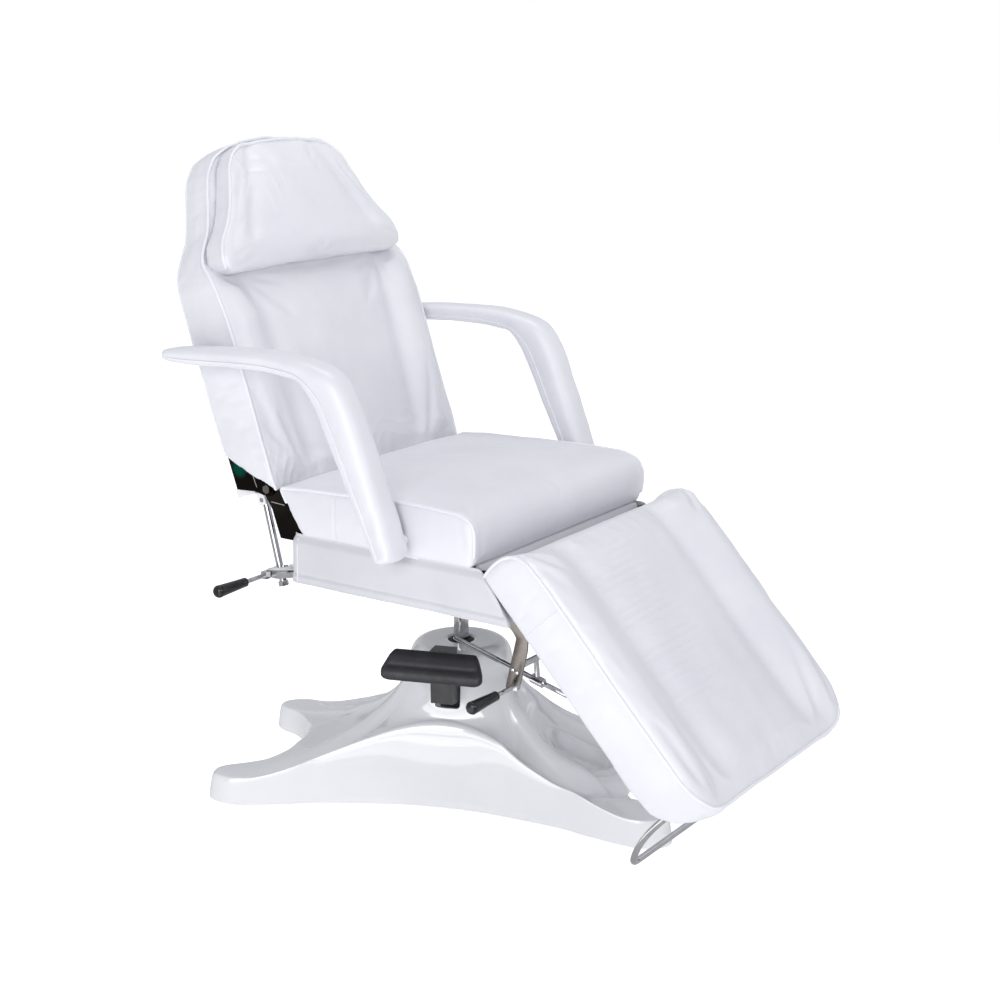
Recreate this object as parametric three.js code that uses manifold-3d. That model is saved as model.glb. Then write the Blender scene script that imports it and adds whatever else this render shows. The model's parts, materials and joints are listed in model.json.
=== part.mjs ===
// Hydraulic treatment chair: three upholstered sections on a pumped column and a moulded base.
// Millimetres, +Z up. The origin is on the floor under the column, -Y is where the feet point
// and +X is the sitter's left.
import * as THREE from 'three';
import { mergeVertices } from 'three/addons/utils/BufferGeometryUtils.js';
import Module from 'manifold-3d';

const wasm = await Module();
wasm.setup();

// ---- driving dimensions ----
const GAP = 0.3; // clearance left between touching pieces
const RAD = Math.PI / 180;

const HALF_WIDTH = 305; // half the width of the upholstered sections
const BACK_LEAN = 19.1; // backrest, degrees behind vertical
const LEG_DROP = 46.6; // leg rest, degrees below level
const BASE_TURN = 20; // base turned under the seat, degrees

const BACK_PIVOT = { y: 251, z: 648 };
const LEG_PIVOT = { y: -245, z: 555 };

const SEAT = { top: 663, bottom: 568, front: -243, rear: 209, rearBottom: 162 };
const BOARD = { halfWidth: 286.5, thick: 18.5, front: -228, rear: 160 };
const SKIRT = { top: 552.5, bottom: 475, rear: 184, frontTop: -243, frontBottom: -300, wall: 12 };
const RAIL = { outer: 286.7, width: 29.7, bottom: 503.7, top: 548.7, front: -228, rear: 168 };
const PLATE = { thick: 4, inner: 287.3 }; // hinge plates beside the rails

const BACK = { rear: 79, front: -28, headFront: 16, board: 15, headStart: 426, top: 690 };
const LEG = { rear: 6, front: 107.5, board: 15, length: 590, corner: 85 };

const PISTON = { radius: 15, bottom: 60, top: 470, flangeRadius: 45, flangeThick: 8 };
const PUMP = { radius: 42, bore: 15.6, flangeRadius: 78, top: 296 };
const BEAM = { width: 50, height: 25, bottom: 6, reach: 474, angle: 25 };
const COVER = { top: 312, hole: 26, dome: 98, wall: 5, foot: 4, waistCrease: 178, tipCrease: 58 };

const REAR_LOCK = { x: -250, clampY: 260, clampZ: 468, rodRadius: 7 };
const FRONT_LOCK = { x: -200, clampY: -313, clampZ: 344, rodRadius: 5 };

// ---- materials ----
const finish = (color, roughness, metalness) => ({ color, roughness, metalness });
const VINYL = finish(0xeeeef3, 0.45, 0);
const PLYWOOD = finish(0xc9a878, 0.7, 0);
const GLOSS_SHELL = finish(0xf2f2f4, 0.12, 0);
const CHROME = finish(0xd8dade, 0.1, 1);
const MIRROR_STEEL = finish(0x8c8a88, 0.18, 1);
const FRAME_STEEL = finish(0x2b2d30, 0.5, 0.6);
const WHITE_STEEL = finish(0xe9e9ec, 0.4, 0.3);
const RUBBER = finish(0x1b1c20, 0.8, 0);
const GRIP = finish(0x0f1013, 0.45, 0);

// ---- groups, one for each tilted or turned frame ----
const chair = new THREE.Group();
const base = new THREE.Group();
const back = new THREE.Group();
const leg = new THREE.Group();
chair.add(base, back, leg);
base.rotation.z = BASE_TURN * RAD;
back.position.set(0, BACK_PIVOT.y, BACK_PIVOT.z);
back.rotation.x = -BACK_LEAN * RAD; // its +Z runs up the backrest and its +Y out of its rear face
leg.position.set(0, LEG_PIVOT.y, LEG_PIVOT.z);
leg.rotation.x = LEG_DROP * RAD; // its -Y runs down the leg rest and its +Z out of its front face

function add(parent, name, geometry, look) {
  const mesh = new THREE.Mesh(geometry, new THREE.MeshStandardMaterial(look));
  mesh.name = name;
  parent.add(mesh);
  return mesh;
}

// ---- solid operations ----
function toSolid(geometry) {
  const bare = new THREE.BufferGeometry();
  bare.setAttribute('position', geometry.getAttribute('position').clone());
  bare.setIndex(geometry.index);
  const merged = mergeVertices(bare, 1e-3);
  return new wasm.Manifold(new wasm.Mesh({
    numProp: 3,
    vertProperties: new Float32Array(merged.attributes.position.array),
    triVerts: new Uint32Array(merged.index.array),
  }));
}

function toGeometry(solid) {
  const mesh = solid.getMesh();
  const geometry = new THREE.BufferGeometry();
  geometry.setAttribute('position', new THREE.BufferAttribute(mesh.vertProperties, mesh.numProp));
  geometry.setIndex(new THREE.BufferAttribute(mesh.triVerts, 1));
  geometry.computeVertexNormals();
  return geometry;
}

const join = (first, ...others) =>
  toGeometry(others.reduce((sum, next) => sum.add(toSolid(next)), toSolid(first)));
const cut = (body, ...tools) =>
  toGeometry(tools.reduce((left, tool) => left.subtract(toSolid(tool)), toSolid(body)));
const common = (a, b) => toGeometry(toSolid(a).intersect(toSolid(b)));

// ---- shape helpers ----
const AXES = {
  x: new THREE.Vector3(1, 0, 0),
  y: new THREE.Vector3(0, 1, 0),
  z: new THREE.Vector3(0, 0, 1),
};

function box([x0, x1], [y0, y1], [z0, z1]) {
  const geometry = new THREE.BoxGeometry(x1 - x0, y1 - y0, z1 - z0);
  return geometry.translate((x0 + x1) / 2, (y0 + y1) / 2, (z0 + z1) / 2);
}

const shapeOf = (points) => new THREE.Shape(points.map(([a, b]) => new THREE.Vector2(a, b)));

function extrude(shape, depth, round = 0, steps = 2) {
  const bevel = {
    bevelEnabled: round > 0,
    bevelSize: round,
    bevelThickness: round,
    bevelOffset: -round,
    bevelSegments: steps,
  };
  const solid = new THREE.ExtrudeGeometry(shape, { depth: depth - 2 * round, curveSegments: 6, ...bevel });
  return solid.translate(0, 0, round);
}

// A side view drawn in Y and Z, given its width from x0 to x1.
function sideCut(points, x0, x1, round = 0) {
  const shape = points instanceof THREE.Shape ? points : shapeOf(points);
  const turn = new THREE.Matrix4().makeBasis(AXES.y, AXES.z, AXES.x);
  return extrude(shape, x1 - x0, round).applyMatrix4(turn).translate(x0, 0, 0);
}

// A front view drawn in X and Z, given its thickness from y0 to y1.
function frontCut(points, y0, y1) {
  const shape = points instanceof THREE.Shape ? points : shapeOf(points);
  const turn = new THREE.Matrix4().makeBasis(AXES.x, AXES.z, AXES.y.clone().negate());
  return extrude(shape, y1 - y0).applyMatrix4(turn).translate(0, y1, 0);
}

// A round bar between two points.
function bar(from, to, radius, sides = 16) {
  const start = new THREE.Vector3(...from);
  const run = new THREE.Vector3(...to).sub(start);
  const geometry = new THREE.CylinderGeometry(radius, radius, run.length(), sides);
  geometry.applyQuaternion(new THREE.Quaternion().setFromUnitVectors(AXES.y, run.clone().normalize()));
  return geometry.translate(...start.addScaledVector(run, 0.5).toArray());
}

// A turned piece about +Z, from [radius, height] points that run anticlockwise.
function turned(profile, sides = 24) {
  const points = profile.map(([r, z]) => new THREE.Vector2(r, z));
  return new THREE.LatheGeometry(points, sides).rotateX(Math.PI / 2);
}

const ring = (inner, outer, low, high, sides = 24) =>
  turned([[inner, low], [outer, low], [outer, high], [inner, high], [inner, low]], sides);

// The same piece on both sides: the left one is on +X.
function bothSides(build) {
  for (const [side, sign] of [['right', -1], ['left', 1]]) build(side, sign);
}

// Low and high X of a slab that lies between two distances from the middle plane.
const span = (sign, near, far) => (sign > 0 ? [near, far] : [-far, -near]);

// ---- moulded base cover ----
// Plan outline: an hourglass with a notch between the two legs of each end.
function coverOutline(samples) {
  const quarter = [
    [137, 0], [140, 70], [156, 154], [182, 250], [208, 310], [235, 390], [238, 430],
    [222, 464], [195, 471], [172, 452], [150, 415], [110, 380], [60, 358], [0, 350],
  ];
  const mirrored = quarter.slice(0, -1).reverse().map(([x, y]) => [-x, y]);
  const half = [...quarter, ...mirrored];
  const rest = half.slice(1, -1).reverse().map(([x, y]) => [x, -y]);
  const loop = [...half, ...rest].map(([x, y]) => new THREE.Vector3(x, y, 0));
  const curve = new THREE.CatmullRomCurve3(loop, true, 'centripetal');
  const points = curve.getSpacedPoints(samples).slice(0, samples);
  return points.map((point, i) => {
    const ahead = points[(i + 1) % samples];
    const behind = points[(i - 1 + samples) % samples];
    const along = ahead.clone().sub(behind).normalize();
    return { edge: point, outward: new THREE.Vector3(along.y, -along.x, 0) };
  });
}

// Height of the crease between the sloping top and the upright side wall.
function creaseHeight(y) {
  const t = Math.min(Math.abs(y) / 400, 1);
  const swell = (0.5 + 0.5 * Math.cos(Math.PI * t)) ** 0.8;
  return THREE.MathUtils.lerp(COVER.tipCrease, COVER.waistCrease, swell);
}

// Radius and height down the cover from its hole to the floor edge, for one direction.
function coverProfile(reach, crease, shrink) {
  const dome = COVER.dome - shrink;
  const top = COVER.top - shrink;
  const shoulder = new THREE.Vector2(dome + 6, top - 34);
  const ledge = new THREE.Vector2(reach - 9, crease - shrink);
  const bend = new THREE.Vector2(
    THREE.MathUtils.lerp(shoulder.x, ledge.x, 0.22),
    THREE.MathUtils.lerp(ledge.y, shoulder.y, 0.12),
  );
  const sweep = new THREE.QuadraticBezierCurve(shoulder, bend, ledge).getPoints(7);
  return [
    [COVER.hole, top],
    [dome - 22, top],
    [dome - 6, top - 3],
    [dome + 2, top - 13],
    ...sweep.map((p) => [p.x, p.y]),
    [reach - 3, crease - shrink - 5],
    [reach - 0.5, crease - shrink - 14],
    [reach, COVER.foot],
  ];
}

function baseCover() {
  const samples = 88;
  const loops = coverOutline(samples).map(({ edge, outward }) => {
    const inside = edge.clone().addScaledVector(outward, -COVER.wall);
    const faces = [[edge, 0], [inside, COVER.wall]].map(([rim, shrink]) => {
      const reach = rim.length();
      const profile = coverProfile(reach, creaseHeight(edge.y), shrink);
      return profile.map(([r, z]) => [(rim.x / reach) * r, (rim.y / reach) * r, z]);
    });
    return [...faces[0].reverse(), ...faces[1]];
  });
  const count = loops[0].length;
  const closed = Array.from({ length: count + 1 }, () => new THREE.Vector2(1, 0));
  const lathe = new THREE.LatheGeometry(closed, samples);
  const spot = lathe.getAttribute('position');
  for (let i = 0; i <= samples; i++) {
    for (let j = 0; j <= count; j++) {
      spot.setXYZ(i * (count + 1) + j, ...loops[i % samples][j % count]);
    }
  }
  const shell = toSolid(lathe);
  const pedalSlot = box([-165, -60], [-26, 26], [200, 262]);
  return toGeometry(shell.subtract(toSolid(pedalSlot)));
}

function buildBase() {
  add(base, 'base_cover', baseCover(), GLOSS_SHELL);

  const beam = (from, to) =>
    box([-BEAM.width / 2, BEAM.width / 2], [from, to], [BEAM.bottom, BEAM.bottom + BEAM.height]);
  const slope = BEAM.angle * RAD;
  add(base, 'base_beam_long', beam(-BEAM.reach, BEAM.reach).rotateZ(-slope), FRAME_STEEL);
  add(base, 'base_beam_front', beam(-BEAM.reach, -56).rotateZ(slope), FRAME_STEEL);
  add(base, 'base_beam_rear', beam(56, BEAM.reach).rotateZ(slope), FRAME_STEEL);

  for (const [end, y] of [['front', -1], ['rear', 1]]) {
    bothSides((side, sign) => {
      const run = BEAM.reach - 26;
      const place = [sign * run * Math.sin(slope), y * run * Math.cos(slope)];
      const foot = bar([...place, 0], [...place, BEAM.bottom - GAP], 18);
      add(base, `foot_${end}_${side}`, foot, RUBBER);
    });
  }

  const flange = BEAM.bottom + BEAM.height + GAP;
  const cylinder = turned([
    [0, flange], [PUMP.flangeRadius, flange], [PUMP.flangeRadius, flange + 8], [PUMP.radius, flange + 8],
    [PUMP.radius, PUMP.top], [PUMP.bore, PUMP.top], [PUMP.bore, 50], [0, 50],
  ]);
  add(base, 'pump_cylinder', cylinder, FRAME_STEEL);
  add(base, 'column_seal', ring(PISTON.radius + 0.8, COVER.hole - 0.8, 303, 310), RUBBER);
}

// ---- foot pump: an arm through the slot in the cover, with a rubber tread ----
function buildPedal() {
  const armSide = [
    [-66, 240], [-92, 246], [-110, 248], [-114, 262], [-116, 333], [-160, 335], [-193, 330],
    [-193, 306], [-154, 292], [-150, 224], [-120, 217], [-92, 215], [-66, 222],
  ];
  add(base, 'pedal_arm', frontCut(armSide, -22, 22), GRIP);

  const tread = [
    [-193.3, 346], [-204, 352], [-222, 346], [-240, 322], [-246, 306], [-236, 297], [-212, 302],
    [-193.3, 312],
  ];
  const full = frontCut(tread, -107, 99);
  const plan = shapeOf([[-190, -80], [-214, -104], [-250, -107], [-250, 99], [-214, 96], [-190, 72]]);
  add(base, 'pedal_tread', common(full, extrude(plan, 100).translate(0, 0, 270)), RUBBER);
}

// ---- column and swivel ----
function buildColumn() {
  const { radius, bottom, top, flangeRadius, flangeThick } = PISTON;
  const rod = turned([
    [0, bottom], [radius, bottom], [radius, top], [flangeRadius, top],
    [flangeRadius, top + flangeThick], [0, top + flangeThick],
  ]);
  add(chair, 'piston', rod, CHROME);
  const bearing = top + flangeThick + GAP;
  add(chair, 'swivel_bearing', ring(20, 60, bearing, 494.7), FRAME_STEEL);
  add(chair, 'column_plate', box([-80, 80], [-195.5, 135], [495, RAIL.bottom - GAP]), FRAME_STEEL);
}

// ---- seat frame, skirt and cushion ----
function buildSeat() {
  bothSides((side, sign) => {
    const tube = box(span(sign, RAIL.outer - RAIL.width, RAIL.outer), [RAIL.front, RAIL.rear],
      [RAIL.bottom, RAIL.top]);
    const lugSide = [
      [-255, 549], [-254, 561], [-247, 566], [-238, 564], [-230, 552], [-226, 540], [-226, 505], [-234, 505],
    ];
    const lug = sideCut(lugSide, ...span(sign, RAIL.outer - PLATE.thick, RAIL.outer));
    const pinHole = bar([sign * 270, LEG_PIVOT.y, LEG_PIVOT.z], [sign * 300, LEG_PIVOT.y, LEG_PIVOT.z], 4.6);
    add(chair, `seat_rail_${side}`, cut(join(tube, lug), pinHole), FRAME_STEEL);
  });
  const between = RAIL.outer - RAIL.width - GAP;
  for (const [name, front] of [['front', RAIL.front + 3], ['rear', RAIL.rear - 33]]) {
    const tube = box([-between, between], [front, front + 30], [RAIL.bottom, RAIL.top]);
    add(chair, `seat_cross_${name}`, tube, FRAME_STEEL);
  }

  const boardTop = SEAT.bottom - GAP;
  const board = box([-BOARD.halfWidth, BOARD.halfWidth], [BOARD.front, BOARD.rear],
    [boardTop - BOARD.thick, boardTop]);
  add(chair, 'seat_board', board, PLYWOOD);

  const { top, bottom, rear, frontTop, frontBottom, wall } = SKIRT;
  bothSides((side, sign) => {
    const panel = sideCut([[frontTop, top], [frontBottom, bottom], [rear, bottom], [rear, top]],
      ...span(sign, HALF_WIDTH - wall, HALF_WIDTH));
    add(chair, `skirt_${side}`, panel, VINYL);
  });
  const inside = HALF_WIDTH - wall - GAP;
  add(chair, 'skirt_rear', box([-inside, inside], [rear - wall, rear], [bottom, top]), VINYL);
  const slanted = [
    [frontTop, top], [frontBottom, bottom], [frontBottom + wall, bottom], [frontTop + wall, top],
  ];
  add(chair, 'skirt_front', sideCut(slanted, -278, 278), VINYL);

  const side = new THREE.Shape();
  side.moveTo(SEAT.rearBottom, SEAT.bottom);
  side.lineTo(SEAT.rear, SEAT.top);
  side.lineTo(SEAT.front + 34, SEAT.top);
  side.quadraticCurveTo(SEAT.front, SEAT.top, SEAT.front, SEAT.top - 34);
  side.lineTo(SEAT.front + 4, SEAT.bottom + 12);
  side.lineTo(SEAT.front + 14, SEAT.bottom);
  const whole = sideCut(side, -HALF_WIDTH, HALF_WIDTH, 10);
  const pocket = (sign) => box(span(sign, 245, HALF_WIDTH + 5), [-118, -52], [SEAT.bottom - 5, 632]);
  add(chair, 'seat_cushion', cut(whole, pocket(-1), pocket(1)), VINYL);
}

// ---- armrests on brackets that stand in pockets of the seat cushion ----
const ARM = { inner: 316.3, outer: 383, pivotY: -85, pivotZ: 604, stub: 11, round: 9 };

function buildArms() {
  const outline = [
    [432, 893], [446, 904], [432, 914], [386, 919], [261, 929], [140, 930], [47, 906], [-3, 854], [-54, 771],
    [-104, 622], [-104, 588], [-88, 574], [-66, 584], [-38, 628], [29, 770], [97, 876],
    [145, 893], [243, 896], [344, 891],
  ].map(([y, z]) => new THREE.Vector2(y, z));
  const [first, ...others] = outline;
  const shape = new THREE.Shape();
  shape.moveTo(first.x, first.y);
  shape.splineThru(others);
  shape.closePath();
  const smooth = new THREE.Shape(shape.getSpacedPoints(44).slice(0, -1));

  bothSides((side, sign) => {
    const foot = box(span(sign, 250, 300), [-112, -58], [SEAT.bottom, SEAT.bottom + 4]);
    const upright = box(span(sign, 296, 300), [-112, -58], [SEAT.bottom, 628]);
    const along = (from, to, radius) =>
      bar([sign * from, ARM.pivotY, ARM.pivotZ], [sign * to, ARM.pivotY, ARM.pivotZ], radius);
    add(chair, `arm_bracket_${side}`, join(foot, upright, along(298, 345, ARM.stub)), FRAME_STEEL);

    const pad = sideCut(smooth, ...span(sign, ARM.inner, ARM.outer), ARM.round);
    add(chair, `armrest_${side}`, cut(pad, along(300, 346, ARM.stub + 0.7)), VINYL);
  });
}

// ---- backrest ----
// Half of the backrest's outline, from the bottom up to the middle of the head end.
function backOutline(inset) {
  const bottom = 7;
  const headEdge = [
    [305, 405], [297, 440], [272, 475], [243, 512], [225, 552], [212, 592], [198, 625], [168, 657],
    [118, 677], [58, 687], [0, BACK.top],
  ].map(([x, u]) => [x - Math.min(inset, x), u - inset * (u > 600 ? 1 : 0)]);
  const mirrored = headEdge.slice(0, -1).reverse().map(([x, u]) => [-x, u]);
  return [[HALF_WIDTH - inset, bottom], ...headEdge, ...mirrored, [-(HALF_WIDTH - inset), bottom]];
}

function buildBack() {
  const boardFront = BACK.rear - BACK.board;
  const board = frontCut(backOutline(HALF_WIDTH - BOARD.halfWidth), boardFront, BACK.rear);
  const boardSide = [[boardFront, 72], [BACK.rear, 84], [BACK.rear, 700], [boardFront, 700]];
  add(back, 'back_board', common(board, sideCut(boardSide, -400, 400)), PLYWOOD);

  const padRear = boardFront - GAP;
  const padSide = [
    [BACK.front, 8], [padRear, 74], [padRear, 700], [BACK.headFront, 700], [BACK.headFront, BACK.headStart],
    [BACK.front + 4, BACK.headStart - 4], [BACK.front, 220],
  ];
  const padFront = frontCut(backOutline(0), BACK.front - 5, padRear);
  add(back, 'back_cushion', common(padFront, sideCut(padSide, -400, 400)), VINYL);

  const pillow = [
    [296, 430], [304, 452], [297, 480], [258, 516], [236, 548], [220, 590], [204, 630], [176, 660],
    [130, 676], [0, 682],
  ];
  const mirrored = pillow.slice(0, -1).reverse().map(([x, u]) => [-x, u]);
  const pillowSide = [
    [BACK.headFront - GAP, 429], [BACK.headFront - GAP, 683], [6, 683], [-14, 660], [-26, 560],
    [-32, 470], [-30, 440], [-22, 429],
  ];
  const slab = frontCut([...pillow, ...mirrored], -40, BACK.headFront);
  add(back, 'head_pillow', common(slab, sideCut(pillowSide, -400, 400)), VINYL);

  const low = { y: 54.9, z: -19.1 }; // where the lock rod is pinned under the crossbar
  const tube = box([-286, 286], [44, 90], [-3, 15]);
  const ears = [[-262, -258], [-242, -238]].map(([x0, x1]) =>
    cut(box([x0, x1], [low.y - 9, low.y + 9], [low.z - 10, 1]),
      bar([x0 - 2, low.y, low.z], [x1 + 2, low.y, low.z], 4.6)));
  add(back, 'back_crossbar', join(tube, ...ears), WHITE_STEEL);

  bothSides((side, sign) => {
    const web = [
      [BACK.rear, 190], [boardFront + 0.5, 190], [boardFront + 0.5, 68], [-14, 12], [-15, 0], [-11, -11],
      [0, -15], [13, -10], [34, 2], [77, 14],
    ];
    const plate = sideCut(web, ...span(sign, PLATE.inner + 4.6, PLATE.inner + 8.6));
    const hole = bar([sign * 280, 0, 0], [sign * 300, 0, 0], 5.6);
    add(back, `back_hinge_upper_${side}`, cut(plate, hole), MIRROR_STEEL);
  });
}

function buildBackHinge() {
  const { y, z } = BACK_PIVOT;
  bothSides((side, sign) => {
    const web = [
      [266, 650], [262, 634], [244, 608], [228, 563], [224, 553.2], [171, 553.2], [171, 506], [120, 506],
      [120, 548], [166, 566], [203, 640], [236, 660], [251, 663], [262, 660],
    ];
    const plate = sideCut(web, ...span(sign, PLATE.inner, PLATE.inner + PLATE.thick));
    const hole = bar([sign * 280, y, z], [sign * 300, y, z], 5.6);
    add(chair, `back_hinge_lower_${side}`, cut(plate, hole), MIRROR_STEEL);
    const shank = bar([sign * 284, y, z], [sign * 299, y, z], 5);
    const heads = [[280, 286.8], [296.4, 301]].map(([x0, x1]) =>
      bar([sign * x0, y, z], [sign * x1, y, z], 9, 6));
    add(chair, `back_hinge_bolt_${side}`, join(shank, ...heads), CHROME);
  });
}

// ---- leg rest ----
function buildLeg() {
  const boardFront = LEG.rear + LEG.board;
  const board = box([-BOARD.halfWidth, BOARD.halfWidth], [-548, -18], [LEG.rear, boardFront]);
  add(leg, 'leg_board', board, PLYWOOD);

  const plan = new THREE.Shape();
  const end = -LEG.length;
  plan.moveTo(-HALF_WIDTH, 0);
  plan.lineTo(-HALF_WIDTH, end + LEG.corner);
  plan.quadraticCurveTo(-HALF_WIDTH + 12, end + 8, -HALF_WIDTH + LEG.corner, end);
  plan.lineTo(HALF_WIDTH - LEG.corner, end);
  plan.quadraticCurveTo(HALF_WIDTH - 12, end + 8, HALF_WIDTH, end + LEG.corner);
  plan.lineTo(HALF_WIDTH, 0);
  const side = [
    [-3, boardFront + GAP], [-12, LEG.front - 8], [-20, LEG.front], [end + 22, LEG.front],
    [end + 6, LEG.front - 8], [end, 84], [end + 10, 56], [end + 30, 34], [end + 52, boardFront + GAP],
  ];
  const padSide = sideCut(side, -400, 400);
  add(leg, 'leg_cushion', common(extrude(plan, 200), padSide), VINYL);

  bothSides((name, sign) => {
    const web = [
      [8, -5], [8, 9], [0, 20.5], [-150, 20.5], [-150, LEG.rear + 0.5], [-16, LEG.rear + 0.5], [-7, -8],
      [2, -9],
    ];
    const plate = sideCut(web, ...span(sign, PLATE.inner, PLATE.inner + PLATE.thick));
    const hole = bar([sign * 280, 0, 0], [sign * 300, 0, 0], 4.9);
    add(leg, `leg_hinge_${name}`, cut(plate, hole), MIRROR_STEEL);
    const pin = bar([sign * 279, 0, 0], [sign * 292.4, 0, 0], 4.2);
    add(leg, `leg_hinge_pin_${name}`, pin, CHROME);
  });

  const corner = 20;
  const reach = 273;
  const top = new THREE.Vector3(reach, -544, LEG.rear - 2);
  const low = new THREE.Vector3(reach, -572, -106);
  const path = new THREE.CurvePath();
  const lean = low.clone().sub(top).normalize();
  const flip = (v) => new THREE.Vector3(-v.x, v.y, v.z);
  const bendStart = low.clone().addScaledVector(lean, -corner);
  const bendEnd = low.clone().setX(reach - corner);
  path.add(new THREE.LineCurve3(top, bendStart));
  path.add(new THREE.QuadraticBezierCurve3(bendStart, low, bendEnd));
  path.add(new THREE.LineCurve3(bendEnd, flip(bendEnd)));
  path.add(new THREE.QuadraticBezierCurve3(flip(bendEnd), flip(low), flip(bendStart)));
  path.add(new THREE.LineCurve3(flip(bendStart), flip(top)));
  const section = new THREE.Shape().absarc(0, 0, 6, 0, 2 * Math.PI);
  const tube = new THREE.ExtrudeGeometry(section, { extrudePath: path, steps: 60, curveSegments: 5 });
  add(leg, 'foot_bar', tube, CHROME);
}

// ---- lock rods, their clamps and their release levers ----
// Turns a point of the seat's Y and Z into the frame of a tilted group.
function inGroup(group, x, y, z) {
  group.updateMatrixWorld(true);
  return group.worldToLocal(new THREE.Vector3(x, y, z));
}

function buildRearLock() {
  const { x, clampY, clampZ, rodRadius } = REAR_LOCK;
  const pinAt = new THREE.Vector3(x, 54.9, -19.1);
  const clamp = inGroup(back, x, clampY, clampZ);
  const run = clamp.clone().sub(pinAt).normalize();
  const end = clamp.clone().addScaledVector(run, 25);
  const rod = bar(pinAt.toArray(), end.toArray(), rodRadius);
  const pin = bar([x - 13, pinAt.y, pinAt.z], [x + 13, pinAt.y, pinAt.z], 4);
  const nutFace = (offset) => end.clone().addScaledVector(run, offset).toArray();
  const nut = bar(nutFace(-8), nutFace(2), 10.5, 6);
  add(back, 'rear_lock_rod', join(rod, pin, nut), CHROME);

  const cheek = [
    [138, 503], [168, 503], [168, 474.5], [188, 474.5], [292, 484], [296, 461], [240, 455], [150, 458],
    [138, 470],
  ];
  const [near, far] = [x - 9.5, x + 9.5].map((mid) => sideCut(cheek, mid - 2, mid + 2));
  const bridge = box([x - 10, x + 10], [140, 166], [460, 503]);
  add(chair, 'rear_lock_clamp', join(near, bridge, far), MIRROR_STEEL);

  addLever('rear', [284, 463], -329, -264, -415);
}

function buildFrontLock() {
  const { x, clampY, clampZ, rodRadius } = FRONT_LOCK;
  const pinAt = inGroup(leg, x, -455.6, 307.6);
  const clamp = inGroup(leg, x, clampY, clampZ);
  const run = clamp.clone().sub(pinAt).normalize();
  const end = clamp.clone().addScaledVector(run, 192);
  const rod = bar(pinAt.toArray(), end.toArray(), rodRadius);
  const tip = new THREE.SphereGeometry(rodRadius, 16, 8).translate(...end.toArray());
  const pin = bar([x - 11, pinAt.y, pinAt.z], [x + 11, pinAt.y, pinAt.z], 3.6);
  add(leg, 'front_lock_rod', join(rod, tip, pin), CHROME);

  const ear = (x0, x1) => cut(
    box([x0, x1], [pinAt.y - 12, pinAt.y + 12], [pinAt.z - 10, LEG.rear - GAP]),
    bar([x0 - 2, pinAt.y, pinAt.z], [x1 + 2, pinAt.y, pinAt.z], 4.3),
  );
  const foot = box([x - 24, x + 24], [pinAt.y - 12, pinAt.y + 12], [LEG.rear - GAP - 4, LEG.rear - GAP]);
  add(leg, 'leg_rod_bracket', join(foot, ear(x - 10, x - 6), ear(x + 6, x + 10)), FRAME_STEEL);

  const hanger = [
    [-268, 338], [-312, 352], [-320, 410], [-304, 452], [-283, 473], [-262, 500], [-258, 503.4],
    [-196, 503.4], [-222, 490], [-248, 460], [-276, 420],
  ];
  add(chair, 'front_lock_hanger', sideCut(hanger, -256.7, -252.7), MIRROR_STEEL);

  const beam = box([-252.4, x + 10], [-316, -300], [379, 395]);
  const jaws = [[x - 9.5, x - 5.5], [x + 5.5, x + 9.5]].map(([x0, x1]) =>
    sideCut([[-318, 386], [-318, 326], [-270, 334], [-270, 364], [-298, 386]], x0, x1));
  add(chair, 'front_lock_clamp', join(beam, ...jaws), MIRROR_STEEL);

  addLever('front', [-275, 331], -282, -212, -368);
}

// A release lever along X: a bar with a small cam block at its inner end, and a tapered grip.
function addLever(end, [y, z], gripStart, inner, gripEnd) {
  const shank = bar([gripStart - 30, y, z], [inner, y, z], 4.5, 12);
  const cam = box([inner - 12, inner + 1], [y - 7, y + 7], [z - 7, z + 7]);
  add(chair, `${end}_lever`, join(shank, cam), CHROME);
  const length = gripStart - gripEnd;
  const profile = [
    [5, 0], [9, 0], [10, 4], [11.5, length * 0.45], [13, length * 0.8], [12, length - 5], [8, length],
    [0, length], [0, 31], [5, 31], [5, 0],
  ];
  const grip = turned(profile, 16).rotateY(-Math.PI / 2).translate(gripStart, y, z);
  add(chair, `${end}_lever_grip`, grip, GRIP);
}

buildBase();
buildPedal();
buildColumn();
buildSeat();
buildArms();
buildBack();
buildBackHinge();
buildLeg();
buildRearLock();
buildFrontLock();

export default chair;
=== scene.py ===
"""The looks of a hydraulic salon treatment chair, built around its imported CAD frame.

Metres, +Z up, in the row frame: the floor is z 0, the lift column stands on the origin, -Y is the way
the sitter faces, and the sitter's right (-X) is the near side.
"""

import json
import math

import bmesh
import bpy
import numpy as np
from mathutils import Matrix, Vector
from mathutils.bvhtree import BVHTree


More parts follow.
